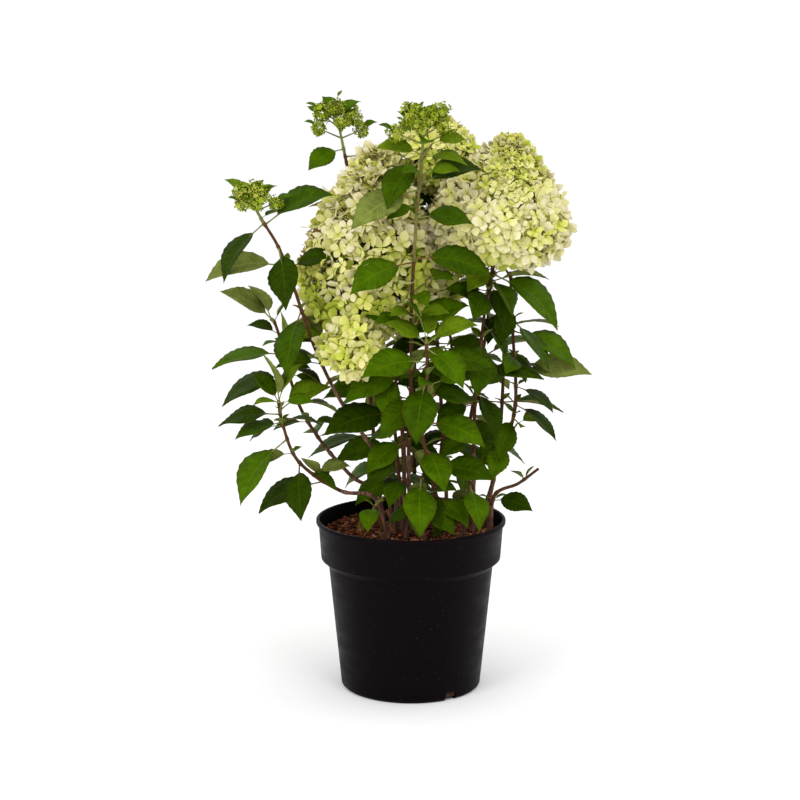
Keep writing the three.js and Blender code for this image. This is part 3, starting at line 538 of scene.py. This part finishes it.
class Leaf:
    """One leaf's line and faces: from its base along a heading, arching down to its tip."""

    def __init__(self, base, heading, pitch, length, bank=None):
        self.base, self.heading, self.pitch, self.length = base, heading, pitch, length
        outward = math.degrees(math.atan2(base.y - MIDDLE_DEPTH, base.x))
        self.bank = LEAF_BANK * math.sin(math.radians(outward - heading)) if bank is None else bank
        self.start = base + direct(heading, pitch + LEAF_ARCH / 2) * (length * STALK_SHARE)
        self.sideways, self.arch = 0.0, LEAF_ARCH

    def ahead(self, along):
        """The midrib's direction at a place: it arches down and may bend to one side."""
        return direct(self.heading + self.sideways * along, self.pitch + self.arch * (0.5 - along))

    def midrib(self, along, steps=12):
        point = self.start.copy()
        for step in range(steps):
            middle = along * (step + 0.5) / steps
            point += self.ahead(middle) * (self.length * (1 - STALK_SHARE) * along / steps)
        return point

    def axes(self, along):
        """The leaf's own directions at a place: ahead, to its left side, and up off its face."""
        ahead = self.ahead(along)
        level = UP.cross(direct(self.heading + self.sideways * along, 0))
        side = Matrix.Rotation(math.radians(-self.bank), 3, ahead) @ level
        return ahead, side, ahead.cross(side)

    def half_width(self, along):
        return self.length * LEAF_WIDTH / 2 * math.sin(math.pi * min(along, 1) ** 0.75)


def solid_points(node):
    """The corners of a mass's solid, to find which turn each of its leaves took there."""
    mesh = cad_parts[node].data
    tree = KDTree(len(mesh.vertices))
    for index, vertex in enumerate(mesh.vertices):
        tree.insert(vertex.co / MM, index)
    tree.balance()
    return tree


def leaf_as_built(points, base, heading, pitch, length, bank=None):
    """The leaf in the turn that its solid took, or None where it found no room."""
    for turn, tilt, size in TURNS:
        leaf = Leaf(base, heading + turn, pitch + tilt, length * size, bank)
        place = LARGE_CORNER if leaf.length > SMALL_LEAF else SMALL_CORNER
        _, side, up = leaf.axes(place)
        middle = leaf.midrib(place) + up * CORNER_RISE
        edges = [middle + side * leaf.half_width(place) * sign for sign in (1, -1)]
        if all(points.find(edge)[2] < NEAR for edge in edges):
            return leaf
    return None


leaves_grown = []
side_twigs = []
for name, (seed, bare, path, pairs) in SHOOTS.items():
    draw = seeded(seed)
    points = solid_points(f"leaves_{name}")
    for along, heading, pitch, first, second, *bank in pairs:
        base = curves[name].at(min(along, LAST_JOINT))
        for which, length in enumerate((first, second)):
            leaf_heading = heading + 180 * which + HEADING_SCATTER * (draw() - 0.5)
            leaf_pitch = pitch + PITCH_SCATTER * (draw() - 0.5)
            leaf_length = length * (1 + LENGTH_SCATTER * (draw() - 0.5))
            leaf = length and leaf_as_built(points, base, leaf_heading, leaf_pitch, leaf_length, *bank)
            if leaf:
                leaves_grown.append((leaf, along, name))
        if draw() < SIDE_TWIG_SHARE:
            direction = direct(heading + 90, 35 + 20 * draw())
            tip = base + direction * SIDE_TWIG_LENGTH
            grown = [leaf_as_built(points, tip - direction, heading + 90 + turn, 0, SIDE_LEAF)
                     for turn in (SIDE_LEAF_TURN, -SIDE_LEAF_TURN)]
            if any(grown):
                side_twigs.append((base, tip))
                leaves_grown.extend((leaf, 1.0, name) for leaf in grown if leaf)

LEAF_ROWS, LEAF_COLUMNS = 18, (-1, -0.5, 0, 0.5, 1)
LEAF_THICKNESS, EDGE_THICKNESS = 0.5, 0.06
LEAN, TOOTH, QUILT, WAVE = 0.085, 0.06, 0.0128, 0.02
TIP_TAPER, TAPER_FROM, FOOT_TAPER, BEND_SCATTER = 0.3, 0.65, 0.3, 26


def leaf_sheet(leaf, draw, rows, fold, lift):
    """A blade's upper points, row by row. Rows lean forward along the side veins."""
    wave, phase = WAVE * leaf.length * draw(), 6.28 * draw()
    cup = 0.5 + 0.5 * draw()
    points, places = [], []
    for row in range(rows + 1):
        start = row / rows
        for column in LEAF_COLUMNS:
            out = abs(column)
            along = min(1.0, start + LEAN * out * math.sin(math.pi * start) ** 0.5)
            _, side, up = leaf.axes(along)
            half = leaf.half_width(along) * (1 - FOOT_TAPER * (1 - along) ** 4)
            half *= 1 - TIP_TAPER * max(0, along - TAPER_FROM) / (1 - TAPER_FROM)
            tooth = 1 + (TOOTH if row % 2 and out == 1 else 0)
            quilt = (QUILT if row % 2 else -QUILT) * leaf.length * out * (1.2 - out)
            height = half * fold * out * (1 - 0.45 * cup * out) + quilt
            height += wave * out * math.sin(2.6 * math.pi * along + phase + 0.8 * column)
            points.append(leaf.midrib(along) + side * (column * half * tooth) + up * (height + lift))
            places.append((0.5 + 0.5 * column, along))
    return points, places


def add_leaf(joined, leaf, draw, top_slot, under_slot, rows=LEAF_ROWS):
    """A closed thin blade: an upper face and a paler under face that meet at the edges."""
    fold = 0.14 + 0.36 * draw()
    leaf.sideways = BEND_SCATTER * (draw() - 0.5)
    leaf.arch = LEAF_ARCH + BEND_SCATTER * (draw() - 0.5)
    top, places = leaf_sheet(leaf, draw, rows, fold, LEAF_THICKNESS / 2)
    columns = len(LEAF_COLUMNS)
    under = []
    for index, point in enumerate(top):
        edge = index % columns in (0, columns - 1) or index >= rows * columns
        _, _, up = leaf.axes(places[index][1])
        under.append(point - up * (EDGE_THICKNESS if edge else LEAF_THICKNESS))
    upper_faces, under_faces = [], []
    shift = len(top)
    for row in range(rows):
        for column in range(columns - 1):
            a = row * columns + column
            b, c, d = a + 1, a + columns + 1, a + columns
            upper_faces.append((a, d, c, b))
            under_faces.append((shift + a, shift + b, shift + c, shift + d))
        for edge in (0, columns - 1):
            a, b = row * columns + edge, (row + 1) * columns + edge
            wall = (a, shift + a, shift + b, b)
            under_faces.append(wall if edge == 0 else wall[::-1])
    slots = [top_slot] * len(upper_faces) + [under_slot] * len(under_faces)
    joined.add(top + under, upper_faces + under_faces, slots, places * 2)


def add_leaf_stalk(joined, leaf, slot):
    """The stalk, and the midrib that runs on beneath the blade to near its tip."""
    girth = max(0.45, min(1.0, leaf.length / 80))
    centres = [leaf.base, leaf.base.lerp(leaf.start, 0.5), leaf.start]
    radii = [1.25 * girth, 0.85 * girth, 0.95 * girth]
    for share in (0.1, 0.25, 0.45, 0.68, 0.88):
        _, _, up = leaf.axes(share)
        centres.append(leaf.midrib(share) - up * 0.45)
        radii.append(0.85 * girth * (1 - share) + 0.12)
    tube(joined, centres, radii, 6, slot)


FRESH, MID, DARK, DEEP, UNDER, SCORCHED = range(6)
# Twisted stalks turn these leaves over, by shoot and place: their pale undersides show.
TURNED_LEAVES = {("left_outer", 0.85), ("centre_front", 0.91), ("right_outer", 0.62),
                 ("left_low", 0.72), ("left_low", 0.56), ("left_middle", 0.98)}
# Single darker leaves stand between the pairs, by shoot: place, heading, pitch, length and bank.
LEAVES_BETWEEN = {
    "back_top": [(0.97, 248, -50, 66, 0), (0.94, 190, 20, 60, 45), (0.9, 320, -50, 66, 0),
                 (0.9, 75, 60, 78, 0), (0.93, 115, 50, 70, 0)],
    "back_left": [(0.27, 150, -30, 70, 0), (0.41, 60, -30, 66, 0), (0.56, 150, -20, 70, 0),
                  (0.72, 70, -20, 66, 0)],
    "back_middle": [(0.27, 100, -40, 70, 0), (0.42, 120, -35, 70, 0), (0.59, 20, -30, 66, 0),
                    (0.76, 110, -20, 60, 0)],
    "back_right": [(0.27, 60, -35, 70, 0), (0.41, 60, -35, 66, 0), (0.56, 50, -25, 70, 0),
                   (0.72, 140, -20, 66, 0)],
    "left_outer": [(0.84, 355, 8, 62, -38)],
    "left_middle": [(0.93, 170, 10, 40, 30), (0.66, 15, -25, 58, 0), (0.8, 350, -30, 50, 0)],
    "left_low": [(0.985, 150, 40, 50, 30), (0.9, 350, -10, 50, 0), (0.6, 330, -30, 46, 0)],
    "right_outer": [(0.76, 345, -30, 46, 0), (0.66, 345, -22, 56, 0), (0.67, 200, -40, 48, 0)],
    "right_bloom": [(0.93, 300, -60, 56, 0), (0.78, 330, -60, 56, 0), (0.9, 190, -10, 50, 30)],
    "right_back": [(0.9, 250, -40, 60, 0), (0.75, 300, -40, 64, 0)],
    "centre_front": [(0.57, 184, 8, 66, 38)],
}
YOUNG_FROM, YOUNG_LENGTH = 0.93, 70


def leaf_tone(leaf, along, name, chance):
    """The tone of a leaf's face: fresh at a shoot's young tip, and elsewhere mostly mid or dark."""
    if along > YOUNG_FROM and leaf.length < YOUNG_LENGTH and not name.startswith("low"):
        return FRESH if chance < 0.55 else MID
    if chance < 0.06 and leaf.length < SMALL_LEAF:
        return SCORCHED
    if chance < 0.5:
        return MID
    return DARK if chance < 0.84 else DEEP


leaf_draw = seeded(77)
blades = JoinedMesh()
blades_young = JoinedMesh()
leaf_stalks = JoinedMesh()
for leaf, along, name in leaves_grown:
    tone = leaf_tone(leaf, along, name, leaf_draw())
    faces_out = (UNDER, tone) if (name, along) in TURNED_LEAVES else (tone, UNDER)
    add_leaf(blades, leaf, leaf_draw, *faces_out)
    add_leaf_stalk(leaf_stalks, leaf, 0 if along < 0.8 else 1)
for name, singles in LEAVES_BETWEEN.items():
    for along, heading, pitch, length, bank in singles:
        leaf = Leaf(curves[name].at(along), heading, pitch, length, bank)
        add_leaf(blades, leaf, leaf_draw, DARK if leaf_draw() < 0.6 else DEEP, UNDER)
        add_leaf_stalk(leaf_stalks, leaf, 0)

# Small unfolding leaves stand in the joints and at the shoot tips, as finer growth. They are
# soft and pale green, and come in pairs on stalks of their own.
EMPTY_SHARE, TOP_JOINT = 0.45, 0.97
for name, (seed, _, _, pairs) in SHOOTS.items():
    draw = seeded(seed + 300)
    for along, heading, *_ in pairs:
        if draw() < EMPTY_SHARE or along > TOP_JOINT:
            continue
        base = curves[name].at(min(along, LAST_JOINT))
        for side in (60, 240):
            small = Leaf(base, heading + side + 40 * (draw() - 0.5), 10 + 40 * draw(),
                         12 + 13 * draw(), bank=20 * (draw() - 0.5))
            add_leaf(blades_young, small, draw, FRESH, UNDER, rows=8)
            add_leaf_stalk(leaf_stalks, small, 1)


def own_place(nodes, links):
    """The place on a piece's own UV map: across it first, and then along it."""
    place = nodes.new("ShaderNodeUVMap")
    place.uv_map = "place"
    split = nodes.new("ShaderNodeSeparateXYZ")
    links.new(place.outputs["UV"], split.inputs["Vector"])
    return split.outputs["X"], split.outputs["Y"]


def feed(links, socket, value):
    """Links another node's output to a socket, or sets the socket to a plain value."""
    if isinstance(value, bpy.types.NodeSocket):
        links.new(value, socket)
    else:
        socket.default_value = value


def mix_colours(nodes, links, share, first, second, blend="MIX"):
    mix = nodes.new("ShaderNodeMix")
    mix.data_type = "RGBA"
    mix.blend_type = blend
    feed(links, mix.inputs["Factor"], share)
    feed(links, mix.inputs["A"], first)
    feed(links, mix.inputs["B"], second)
    return mix.outputs["Result"]


LEAF_GLOSS, LEAF_SHEEN = 0.035, (0.9, 1, 0.3, 1)
SIDE_VEINS, VEIN_LEAN, VEIN_STRENGTH, VEIN_DEPTH = 9, 0.34, 0.32, 0.0008
MIDRIB_HALF, MIDRIB_STRENGTH = 0.02, 0.65
RIM_FROM, RIM_STRENGTH, RIM_RED = 0.488, 0.55, (0.13, 0.05, 0.012, 1)


def leaf_material(name, base, rough, relief=-1):
    """A face with a paler midrib and side veins over mottled green: sunk above, raised below."""
    material, nodes, links, shader = new_material(name, base, rough, LEAF_GLOSS)

    def calculate(kind, first, second):
        node = nodes.new("ShaderNodeMath")
        node.operation = kind
        feed(links, node.inputs[0], first)
        feed(links, node.inputs[1], second)
        return node.outputs[0]

    across, along = own_place(nodes, links)
    out = calculate("ABSOLUTE", calculate("SUBTRACT", across, 0.5), 0)
    forward = calculate("SUBTRACT", along, calculate("MULTIPLY", out, VEIN_LEAN))
    wave = calculate("SINE", calculate("MULTIPLY", forward, 2 * math.pi * SIDE_VEINS), 0)
    vein = calculate("POWER", calculate("MULTIPLY", calculate("ADD", wave, 1), 0.5), 14)
    midrib = calculate("LESS_THAN", out, MIDRIB_HALF)
    veins = calculate("MAXIMUM", calculate("MULTIPLY", vein, VEIN_STRENGTH),
                      calculate("MULTIPLY", midrib, MIDRIB_STRENGTH))
    mottle = object_noise(nodes, links, 90, 4)
    ground = colour_ramp(nodes, links, mottle, [
        (0.3, *[c * 0.72 for c in base]), (0.7, *[min(1, c * 1.28) for c in base])])
    vein_green = (base[0] * 2 + 0.012, base[1] * 1.6 + 0.015, base[2] * 1.5, 1)
    veined = mix_colours(nodes, links, veins, ground, vein_green)
    rim = calculate("MULTIPLY", calculate("GREATER_THAN", out, RIM_FROM), RIM_STRENGTH)
    links.new(mix_colours(nodes, links, rim, veined, RIM_RED), shader.inputs["Base Color"])
    add_bump(nodes, links, shader, calculate("MULTIPLY", veins, relief), VEIN_DEPTH, 0.8)
    shader.inputs["Specular Tint"].default_value = LEAF_SHEEN
    return material


leaf_materials = [
    leaf_material("leaf_fresh", (0.088, 0.15, 0.004), 0.5),
    leaf_material("leaf_mid", (0.045, 0.097, 0.0008), 0.42),
    leaf_material("leaf_dark", (0.029, 0.064, 0.0006), 0.4),
    leaf_material("leaf_deep", (0.017, 0.037, 0.0005), 0.38),
    leaf_material("leaf_under", (0.14, 0.175, 0.034), 0.7, relief=1.6),
    leaf_material("leaf_scorched", (0.085, 0.06, 0.01), 0.7),
]
leaf_blades = blades.piece("leaf_blades", leaf_materials)
young_leaves = blades_young.piece("young_leaves", leaf_materials)
stalk_red = plain_material("stalk_red", (0.17, 0.085, 0.03), 0.5, 0.3, 300)
stalk_green = plain_material("stalk_green", (0.2, 0.24, 0.06), 0.5, 0.25, 300)
stalks = leaf_stalks.piece("leaf_stalks", [stalk_red, stalk_green])
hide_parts(*[f"leaves_{name}" for name in SHOOTS])

# Side twigs are thin green shoots from the joints, each with a small pair of leaves. They are
# this year's wood, still soft and green.
TWIG_STEPS = 8
twigs = JoinedMesh()
for base, tip in side_twigs:
    centres = [base.lerp(tip, step / TWIG_STEPS) for step in range(TWIG_STEPS + 1)]
    radii = [1.6 - 0.7 * step / TWIG_STEPS + 0.15 * (step % 2) for step in range(TWIG_STEPS + 1)]
    tube(twigs, centres, radii, 8)
twig_piece = twigs.piece("side_twigs", [green_stem])

# A flower head is a branched panicle. Its outside is packed with large sterile florets, each
# of four cupped petals, cream where the sun falls and lime green where they are young. The
# inner florets, and a spot of the left head under a leaf, are greener partly as painted shade.
# Each head has its shoot, its tip, its radius, the place where it is widest and its florets.
HEADS = {
    "left_large": ("left_bloom", (-40, -14, 656), 84, 0.34, 460),
    "right_large": ("right_bloom", (118, 4, 668), 84, 0.34, 450),
    "back_top": ("back_top", (24, 48, 692), 54, 0.5, 210),
    "left_small": ("left_small", (-102, -84, 430), 37, 0.5, 76),
    "centre_back": ("centre_back", (28, 88, 545), 40, 0.5, 76),
    "back_left": ("back_left", (-60, 138, 618), 50, 0.42, 140),
    "back_right": ("back_right", (106, 140, 618), 50, 0.42, 140),
}
GOLDEN_ANGLE = math.radians(137.5)
HEAD_ROUNDNESS, HEAD_TAPER, HEAD_GAP = 0.7, 0.35, 0.36
PETAL_LENGTH, SMALL_PETAL, CROWDED, FLORET_TILT = 13.2, 7.5, 5, 1.35
BACK_SHRINK, WITHERED_SHRINK = 0.8, 0.62
# A petal's rows: how far out each lies and its half width, as shares of the petal's length.
PETAL_ROWS = ((0.06, 0.07), (0.36, 0.38), (0.72, 0.48), (1.0, 0.16))
# The outer and the inner florets: how deep they lie in the head, and their share of its florets.
LAYERS = ((3, 1.0), (15, 0.55))


def head_frame(name):
    """A head's foot, tip and directions, from the shoot that it tops."""
    shoot, tip, *_ = HEADS[name]
    curve = curves[shoot]
    base = curve.at(1) + curve.direction(1) * HEAD_GAP
    tip = Vector(tip)
    axis = (tip - base).normalized()
    across = axis.cross(Vector((0, 1, 0))).normalized()
    return base, tip, axis, across, axis.cross(across)


def head_profile(widest, along):
    power = math.log(0.5) / math.log(widest)
    narrowing = 1 - HEAD_TAPER * max(0, along - widest)
    return narrowing * max(0.0, math.sin(math.pi * min(1, along) ** power)) ** HEAD_ROUNDNESS


def add_floret(joined, centre, normal, spin, size, cup, slot, draw):
    """Four petals round a small eye. Each petal is a cupped patch, wide beyond its middle."""
    across = normal.orthogonal().normalized()
    other = normal.cross(across)
    for petal in range(4):
        angle = spin + petal * math.pi / 2 + 0.3 * (draw() - 0.5)
        ahead = across * math.cos(angle) + other * math.sin(angle)
        side = normal.cross(ahead)
        length = size * (0.86 + 0.28 * draw())
        breadth = 0.68 + 0.32 * draw()
        droop = cup + 0.45 * (draw() - 0.5)
        over = 0.6 * (1 if petal % 2 else -1)
        points, places = [], []
        for row, (reach, width) in enumerate(PETAL_ROWS):
            half = width * breadth
            for column in (-1, 0, 1):
                forward = reach - (0.07 if column and row == 3 else 0)
                rise = droop * reach * reach - 0.16 * abs(column) * half * 2 + 0.1 * reach
                if row == 3:
                    rise += 0.05
                points.append(centre + ahead * (length * forward) + side * (length * half * column)
                              + normal * (length * rise * 0.5 + over * 0.5))
                places.append((0.5 + 0.5 * column, reach))
        faces = [(3 * row + col, 3 * row + col + 3, 3 * row + col + 4, 3 * row + col + 1)
                 for row in range(3) for col in range(2)]
        joined.add(points, [face[::-1] for face in faces], slot, places)


CREAM, IVORY, LEMON, LIME, WITHERED = range(5)
IVORY_FROM, LEMON_FROM, LIME_FROM, INNER_LIME_FROM = 0.14, 0.36, 0.56, 0.2
LEFT_HEAD_X, RIGHT_HEAD_X = -48, 118
# The greenest florets of the two large heads lie round these places, each with its reach. The
# right head's spot and the left head's second spot hold their youngest florets; the left head's
# first spot, low on its right side under a leaf, is painted shade.
YOUNG_AND_SHADED_SPOTS = {"left_large": [((22, -60, 515), 44), ((-105, -55, 475), 34)],
               "right_large": [((112, -52, 632), 38)]}


def youth_and_shade(name, centre):
    """How near a floret lies to a young spot or a painted-shade spot of its head: 1 in the middle, 0 far
    away.
    """
    return max([math.exp(-((centre - Vector(spot)).length / reach) ** 2)
                for spot, reach in YOUNG_AND_SHADED_SPOTS.get(name, [])], default=0.0)


def floret_colour(name, along, depth, centre, draw):
    """The floret's colour: greener in patches, where it is young and where shade is painted, withered at an
    old edge.
    """
    patch = noise.noise(centre * 0.022 + Vector((3.1, 1.7, 9.2)))
    # Florets near a spot are greener: young florets, and at the left head's first spot painted shade.
    green = 0.2 + 0.26 * patch + 0.42 * (draw() - 0.5) + 0.34 * youth_and_shade(name, centre)
    withered = 0.002
    if name == "right_large":
        green -= 0.04 if centre.x < RIGHT_HEAD_X + 30 else 0.14
        withered += 1.4 * max(0, along - 0.8) if centre.x < RIGHT_HEAD_X else 0
    if name == "left_large":
        # The left head is creamier toward its top and greener toward its foot: partly its own colour,
        # partly painted light on its top, whose florets face up and away from the key light.
        green += 0.3 * (0.5 - along)
        withered += 0.25 if centre.x < LEFT_HEAD_X - 62 and centre.z > 520 else 0
    if name in ("left_small", "back_top"):
        green += 0.16
    if draw() < withered:
        return WITHERED
    # The inner florets, deep in the head, are only lemon or lime: partly their own greener colour, partly
    # painted shade between the outer florets.
    if depth:
        return LIME if green > INNER_LIME_FROM else LEMON
    if green > LEMON_FROM:
        return LIME if green > LIME_FROM else LEMON
    return IVORY if green > IVORY_FROM else CREAM


florets_outer = JoinedMesh()
florets_inner = JoinedMesh()
panicle_twigs = JoinedMesh()
for number, name in enumerate(HEADS):
    shoot, _, radius, widest, florets = HEADS[name]
    base, tip, axis, across, other = head_frame(name)
    draw = seeded(60 + number)
    middle = base.lerp(tip, 0.35)
    for layer, (inset, share) in enumerate(LAYERS):
        count = int(florets * share)
        for place in range(count):
            along = 0.03 + 0.955 * (place + 0.5) / count
            angle = place * GOLDEN_ANGLE + layer
            out = across * math.cos(angle) + other * math.sin(angle)
            reach = (radius - inset) * head_profile(widest, along)
            reach *= 0.93 + 0.11 * draw() + 0.05 * noise.noise(out * 1.9 + axis * along * 4)
            centre = base.lerp(tip, along) + out * reach
            normal = (centre - middle).normalized()
            lean = Vector((draw() - 0.5, draw() - 0.5, draw() - 0.5))
            facing = (normal + lean * FLORET_TILT).normalized()
            size = PETAL_LENGTH * (0.74 + 0.38 * draw())
            if name == "right_large" and not layer:
                late = 2 * (along - 0.7) if centre.x < RIGHT_HEAD_X + 24 else 0
                size *= 1 - 0.6 * max(youth_and_shade(name, centre), late)
            if name == "back_top":
                size *= BACK_SHRINK
            colour = floret_colour(name, along, layer, centre, draw)
            if colour == WITHERED:
                size *= WITHERED_SHRINK
            into = florets_inner if layer else florets_outer
            cup = 0.2 + 0.8 * draw()
            add_floret(into, centre, facing, 2 * math.pi * draw(), size, cup, colour, draw)
            if size < SMALL_PETAL and name == "right_large":
                for _ in range(CROWDED):
                    beside = Vector((draw() - 0.5, draw() - 0.5, draw() - 0.5)) * (3.2 * size)
                    colour = floret_colour(name, along, layer, centre + beside, draw)
                    add_floret(into, centre + beside - normal * beside.dot(normal), facing,
                               2 * math.pi * draw(), size * (0.8 + 0.3 * draw()), cup, colour, draw)
            if not layer or place % 2:
                root = base.lerp(tip, max(0.02, along - 0.12))
                bend = root.lerp(centre, 0.6) - axis * 2
                tube(panicle_twigs, [root, bend, centre - facing * 0.5], [0.9, 0.6, 0.35], 3, close=False)
    stem_points = [base.lerp(tip, 0.94 * step / 12) for step in range(13)]
    stem_points[0] = curves[shoot].at(1)
    tube(panicle_twigs, stem_points, [2.2 - 1.5 * step / 12 for step in range(13)], 8)


def petal_material(name, base, eye):
    """A petal: its foot is greener, with a fine mottle over it."""
    material, nodes, links, shader = new_material(name, base, 0.55, gloss=0.08)
    _, along = own_place(nodes, links)
    foot = colour_ramp(nodes, links, along, [
        (0.02, *eye), (0.45, *[0.75 * b + 0.25 * e for b, e in zip(base, eye)]), (0.9, *base)])
    mottle = object_noise(nodes, links, 260, 3)
    shade = colour_ramp(nodes, links, mottle, [(0.25, 0.86, 0.86, 0.84), (0.75, 1, 1, 1)])
    links.new(mix_colours(nodes, links, 1, foot, shade, "MULTIPLY"), shader.inputs["Base Color"])
    add_bump(nodes, links, shader, mottle, 0.0004, 0.5)
    shader.inputs["Subsurface Weight"].default_value = 0.12
    shader.inputs["Subsurface Radius"].default_value = (0.006, 0.006, 0.003)
    shader.inputs["Subsurface Scale"].default_value = 0.5
    return material


petal_materials = [
    petal_material("petal_cream", (0.84, 0.77, 0.52), (0.62, 0.62, 0.15)),
    petal_material("petal_ivory", (0.81, 0.76, 0.36), (0.57, 0.59, 0.09)),
    petal_material("petal_lemon", (0.73, 0.73, 0.19), (0.48, 0.53, 0.05)),
    petal_material("petal_lime", (0.54, 0.60, 0.08), (0.36, 0.44, 0.025)),
    petal_material("petal_withered", (0.33, 0.19, 0.07), (0.22, 0.13, 0.03)),
]
outer_florets = florets_outer.piece("florets_outer", petal_materials)
inner_florets = florets_inner.piece("florets_inner", petal_materials)
panicle_stems = panicle_twigs.piece("panicle_stems", [green_stem])
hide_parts(*[f"bloom_{name}" for name in HEADS])

# The three youngest shoots end in green bud heads: opposite stalks up a short axis, each with
# a dense cluster of closed beads and tiny green florets, with a few narrow bracts.
# Each has its height, its half width, its rows of stalks and its seed, by the shoot it tops.
BUDS = {"left_outer": (40, 30, 4, 41), "left_upper": (54, 41, 5, 42), "centre_front": (47, 43, 6, 43)}
CLUSTER_RADIUS, CLUSTER_BUDS, BRACT_LENGTH, BRACT_SHARE, BRACT_TURN = 9, 100, 26, 0.3, 30
# The bracts round a bud head's top, each with its heading, pitch and length.
TOP_BRACTS = ((165, 30, 28), (20, 26, 28), (140, 40, 25), (45, 42, 24), (250, 5, 22))
BEAD_FACES = [(0, 1, 2), (0, 2, 3), (0, 3, 4), (0, 4, 1), (5, 2, 1), (5, 3, 2), (5, 4, 3), (5, 1, 4)]


def add_bead(joined, centre, radius, slot):
    offsets = ((0, 0, 1), (1, 0, 0), (0, 1, 0), (-1, 0, 0), (0, -1, 0), (0, 0, -1))
    joined.add([centre + Vector(offset) * radius for offset in offsets], BEAD_FACES, slot)


def add_bract(foot, heading, pitch, length, tone, draw, rows=8):
    """A small leaf of a bud head, on its own short stalk, its upper face turned to the front."""
    bank = -BRACT_TURN * math.cos(math.radians(heading))
    bract = Leaf(foot, heading, pitch, length, bank=bank)
    add_leaf(bracts, bract, draw, tone, UNDER, rows)
    add_leaf_stalk(bud_stalks, bract, 0)


def add_cluster(joined, centre, radius, draw):
    """Beads, small open florets and narrow bracts over a ball."""
    for count in range(CLUSTER_BUDS):
        height = 1 - 2 * (count + 0.5) / CLUSTER_BUDS
        flat = math.sqrt(1 - height * height)
        angle = count * GOLDEN_ANGLE + draw()
        out = Vector((flat * math.cos(angle), flat * math.sin(angle), height))
        place = centre + out * (radius * (0.5 + 0.5 * draw()))
        kind = count % 9
        if kind == 0 and height > 0 and draw() < 0.15:
            heading = math.degrees(math.atan2(out.y, out.x))
            add_bract(place, heading, 10 + 40 * draw(), radius * (0.8 + 0.4 * draw()), FRESH, draw, rows=4)
        elif kind in (3, 6, 8):
            add_floret(joined, place, (out + Vector((0, 0, 0.3))).normalized(), 2 * math.pi * draw(),
                       2.4 + 1.6 * draw(), 0.6, int(3 * draw()), draw)
        else:
            add_bead(joined, place, 0.85 + 0.75 * draw(), int(3 * draw()))


bud_beads = JoinedMesh()
bud_stalks = JoinedMesh()
bracts = JoinedMesh()
for name, (height, spread, rows, seed) in BUDS.items():
    draw = seeded(seed)
    fine = seeded(seed + 500)
    curve = curves[name]
    tangent = curve.direction(1)
    base = curve.at(1) + tangent * HEAD_GAP
    top = base + tangent * (height - CLUSTER_RADIUS)
    tube(bud_stalks, [curve.at(1), base, top], [2.0, 1.8, 0.8], 8)
    add_cluster(bud_beads, top, CLUSTER_RADIUS, fine)
    for heading, pitch, length in TOP_BRACTS:
        foot = base + tangent * (height * (0.5 + 0.2 * fine()))
        turned = heading + 30 * (fine() - 0.5)
        add_bract(foot, turned, pitch, length + spread / 4, FRESH if fine() < 0.4 else MID, fine)
    for row in range(rows):
        along = 0.2 + 0.6 * row / rows
        start = base + tangent * (along * height)
        for side in (0, 180):
            heading = 65 * row + side + 40 * draw()
            reach = spread * (1 - 0.4 * along) * (0.8 + 0.3 * draw())
            direction = direct(heading, 15 + 35 * along)
            radius = CLUSTER_RADIUS * (0.8 + 0.4 * draw())
            stalk = [start, start + direction * (reach * 0.5), start + direction * (reach - radius)]
            tube(bud_stalks, stalk, [1.1, 0.8, 0.6], 5)
            add_cluster(bud_beads, start + direction * (reach - 0.7 * radius), radius * 1.15, fine)
            if draw() < BRACT_SHARE:
                foot = start + direction * (reach - CLUSTER_RADIUS)
                add_bract(foot, heading, 20, BRACT_LENGTH, MID, fine)
bead_materials = [
    plain_material("bud_yellow_green", (0.29, 0.36, 0.018), 0.55, 0.2),
    plain_material("bud_green", (0.17, 0.235, 0.01), 0.55, 0.2),
    plain_material("bud_tip", (0.42, 0.45, 0.07), 0.55, 0.2),
]
bud_clusters = bud_beads.piece("bud_clusters", bead_materials)
bud_stems = bud_stalks.piece("bud_stems", [stalk_green])
bud_bracts = bracts.piece("bud_bracts", leaf_materials)
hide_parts(*[f"buds_{name}" for name in BUDS])

# The studio: a white floor, a bright surround, soft boxes to both sides and one above.
deselect_all()
bpy.ops.mesh.primitive_plane_add(size=30)
floor = bpy.context.object
floor.name = "studio_floor"
floor.data.materials.append(new_material("floor_paint", (0.95, 0.95, 0.95), 0.9, gloss=0)[0])

world = bpy.data.worlds.new("studio")
bpy.context.scene.world = world
world.use_nodes = True
world.node_tree.nodes["Background"].inputs["Color"].default_value = (1, 1, 1, 1)
world.node_tree.nodes["Background"].inputs["Strength"].default_value = 1.055
bpy.context.scene.view_settings.view_transform = "Standard"


def soft_box(name, location, target, size, power):
    lamp = bpy.data.lights.new(name, "AREA")
    lamp.shape = "RECTANGLE"
    lamp.size, lamp.size_y = size
    lamp.energy = power
    held = bpy.data.objects.new(name, lamp)
    bpy.context.scene.collection.objects.link(held)
    held.location = location
    held.rotation_euler = (Vector(target) - Vector(location)).to_track_quat("-Z", "Y").to_euler()


soft_box("key_light", (1.1, -2.1, 2.4), (0, 0, 0.4), (1.2, 1.2), 15)
soft_box("fill_light", (-1.7, -2.0, 1.5), (0, 0, 0.5), (1.2, 1.6), 22)
soft_box("top_light", (0.4, 0.3, 2.8), (0, 0, 0.5), (1.4, 1.4), 6)

bpy.ops.object.camera_add(location=(-0.0132, -2.452, 0.8175), rotation=(math.radians(79.28), 0, 0))
camera = bpy.context.object
camera.data.lens = 93.5
camera.data.sensor_width = 36
camera.data.clip_end = 60
bpy.context.scene.camera = camera
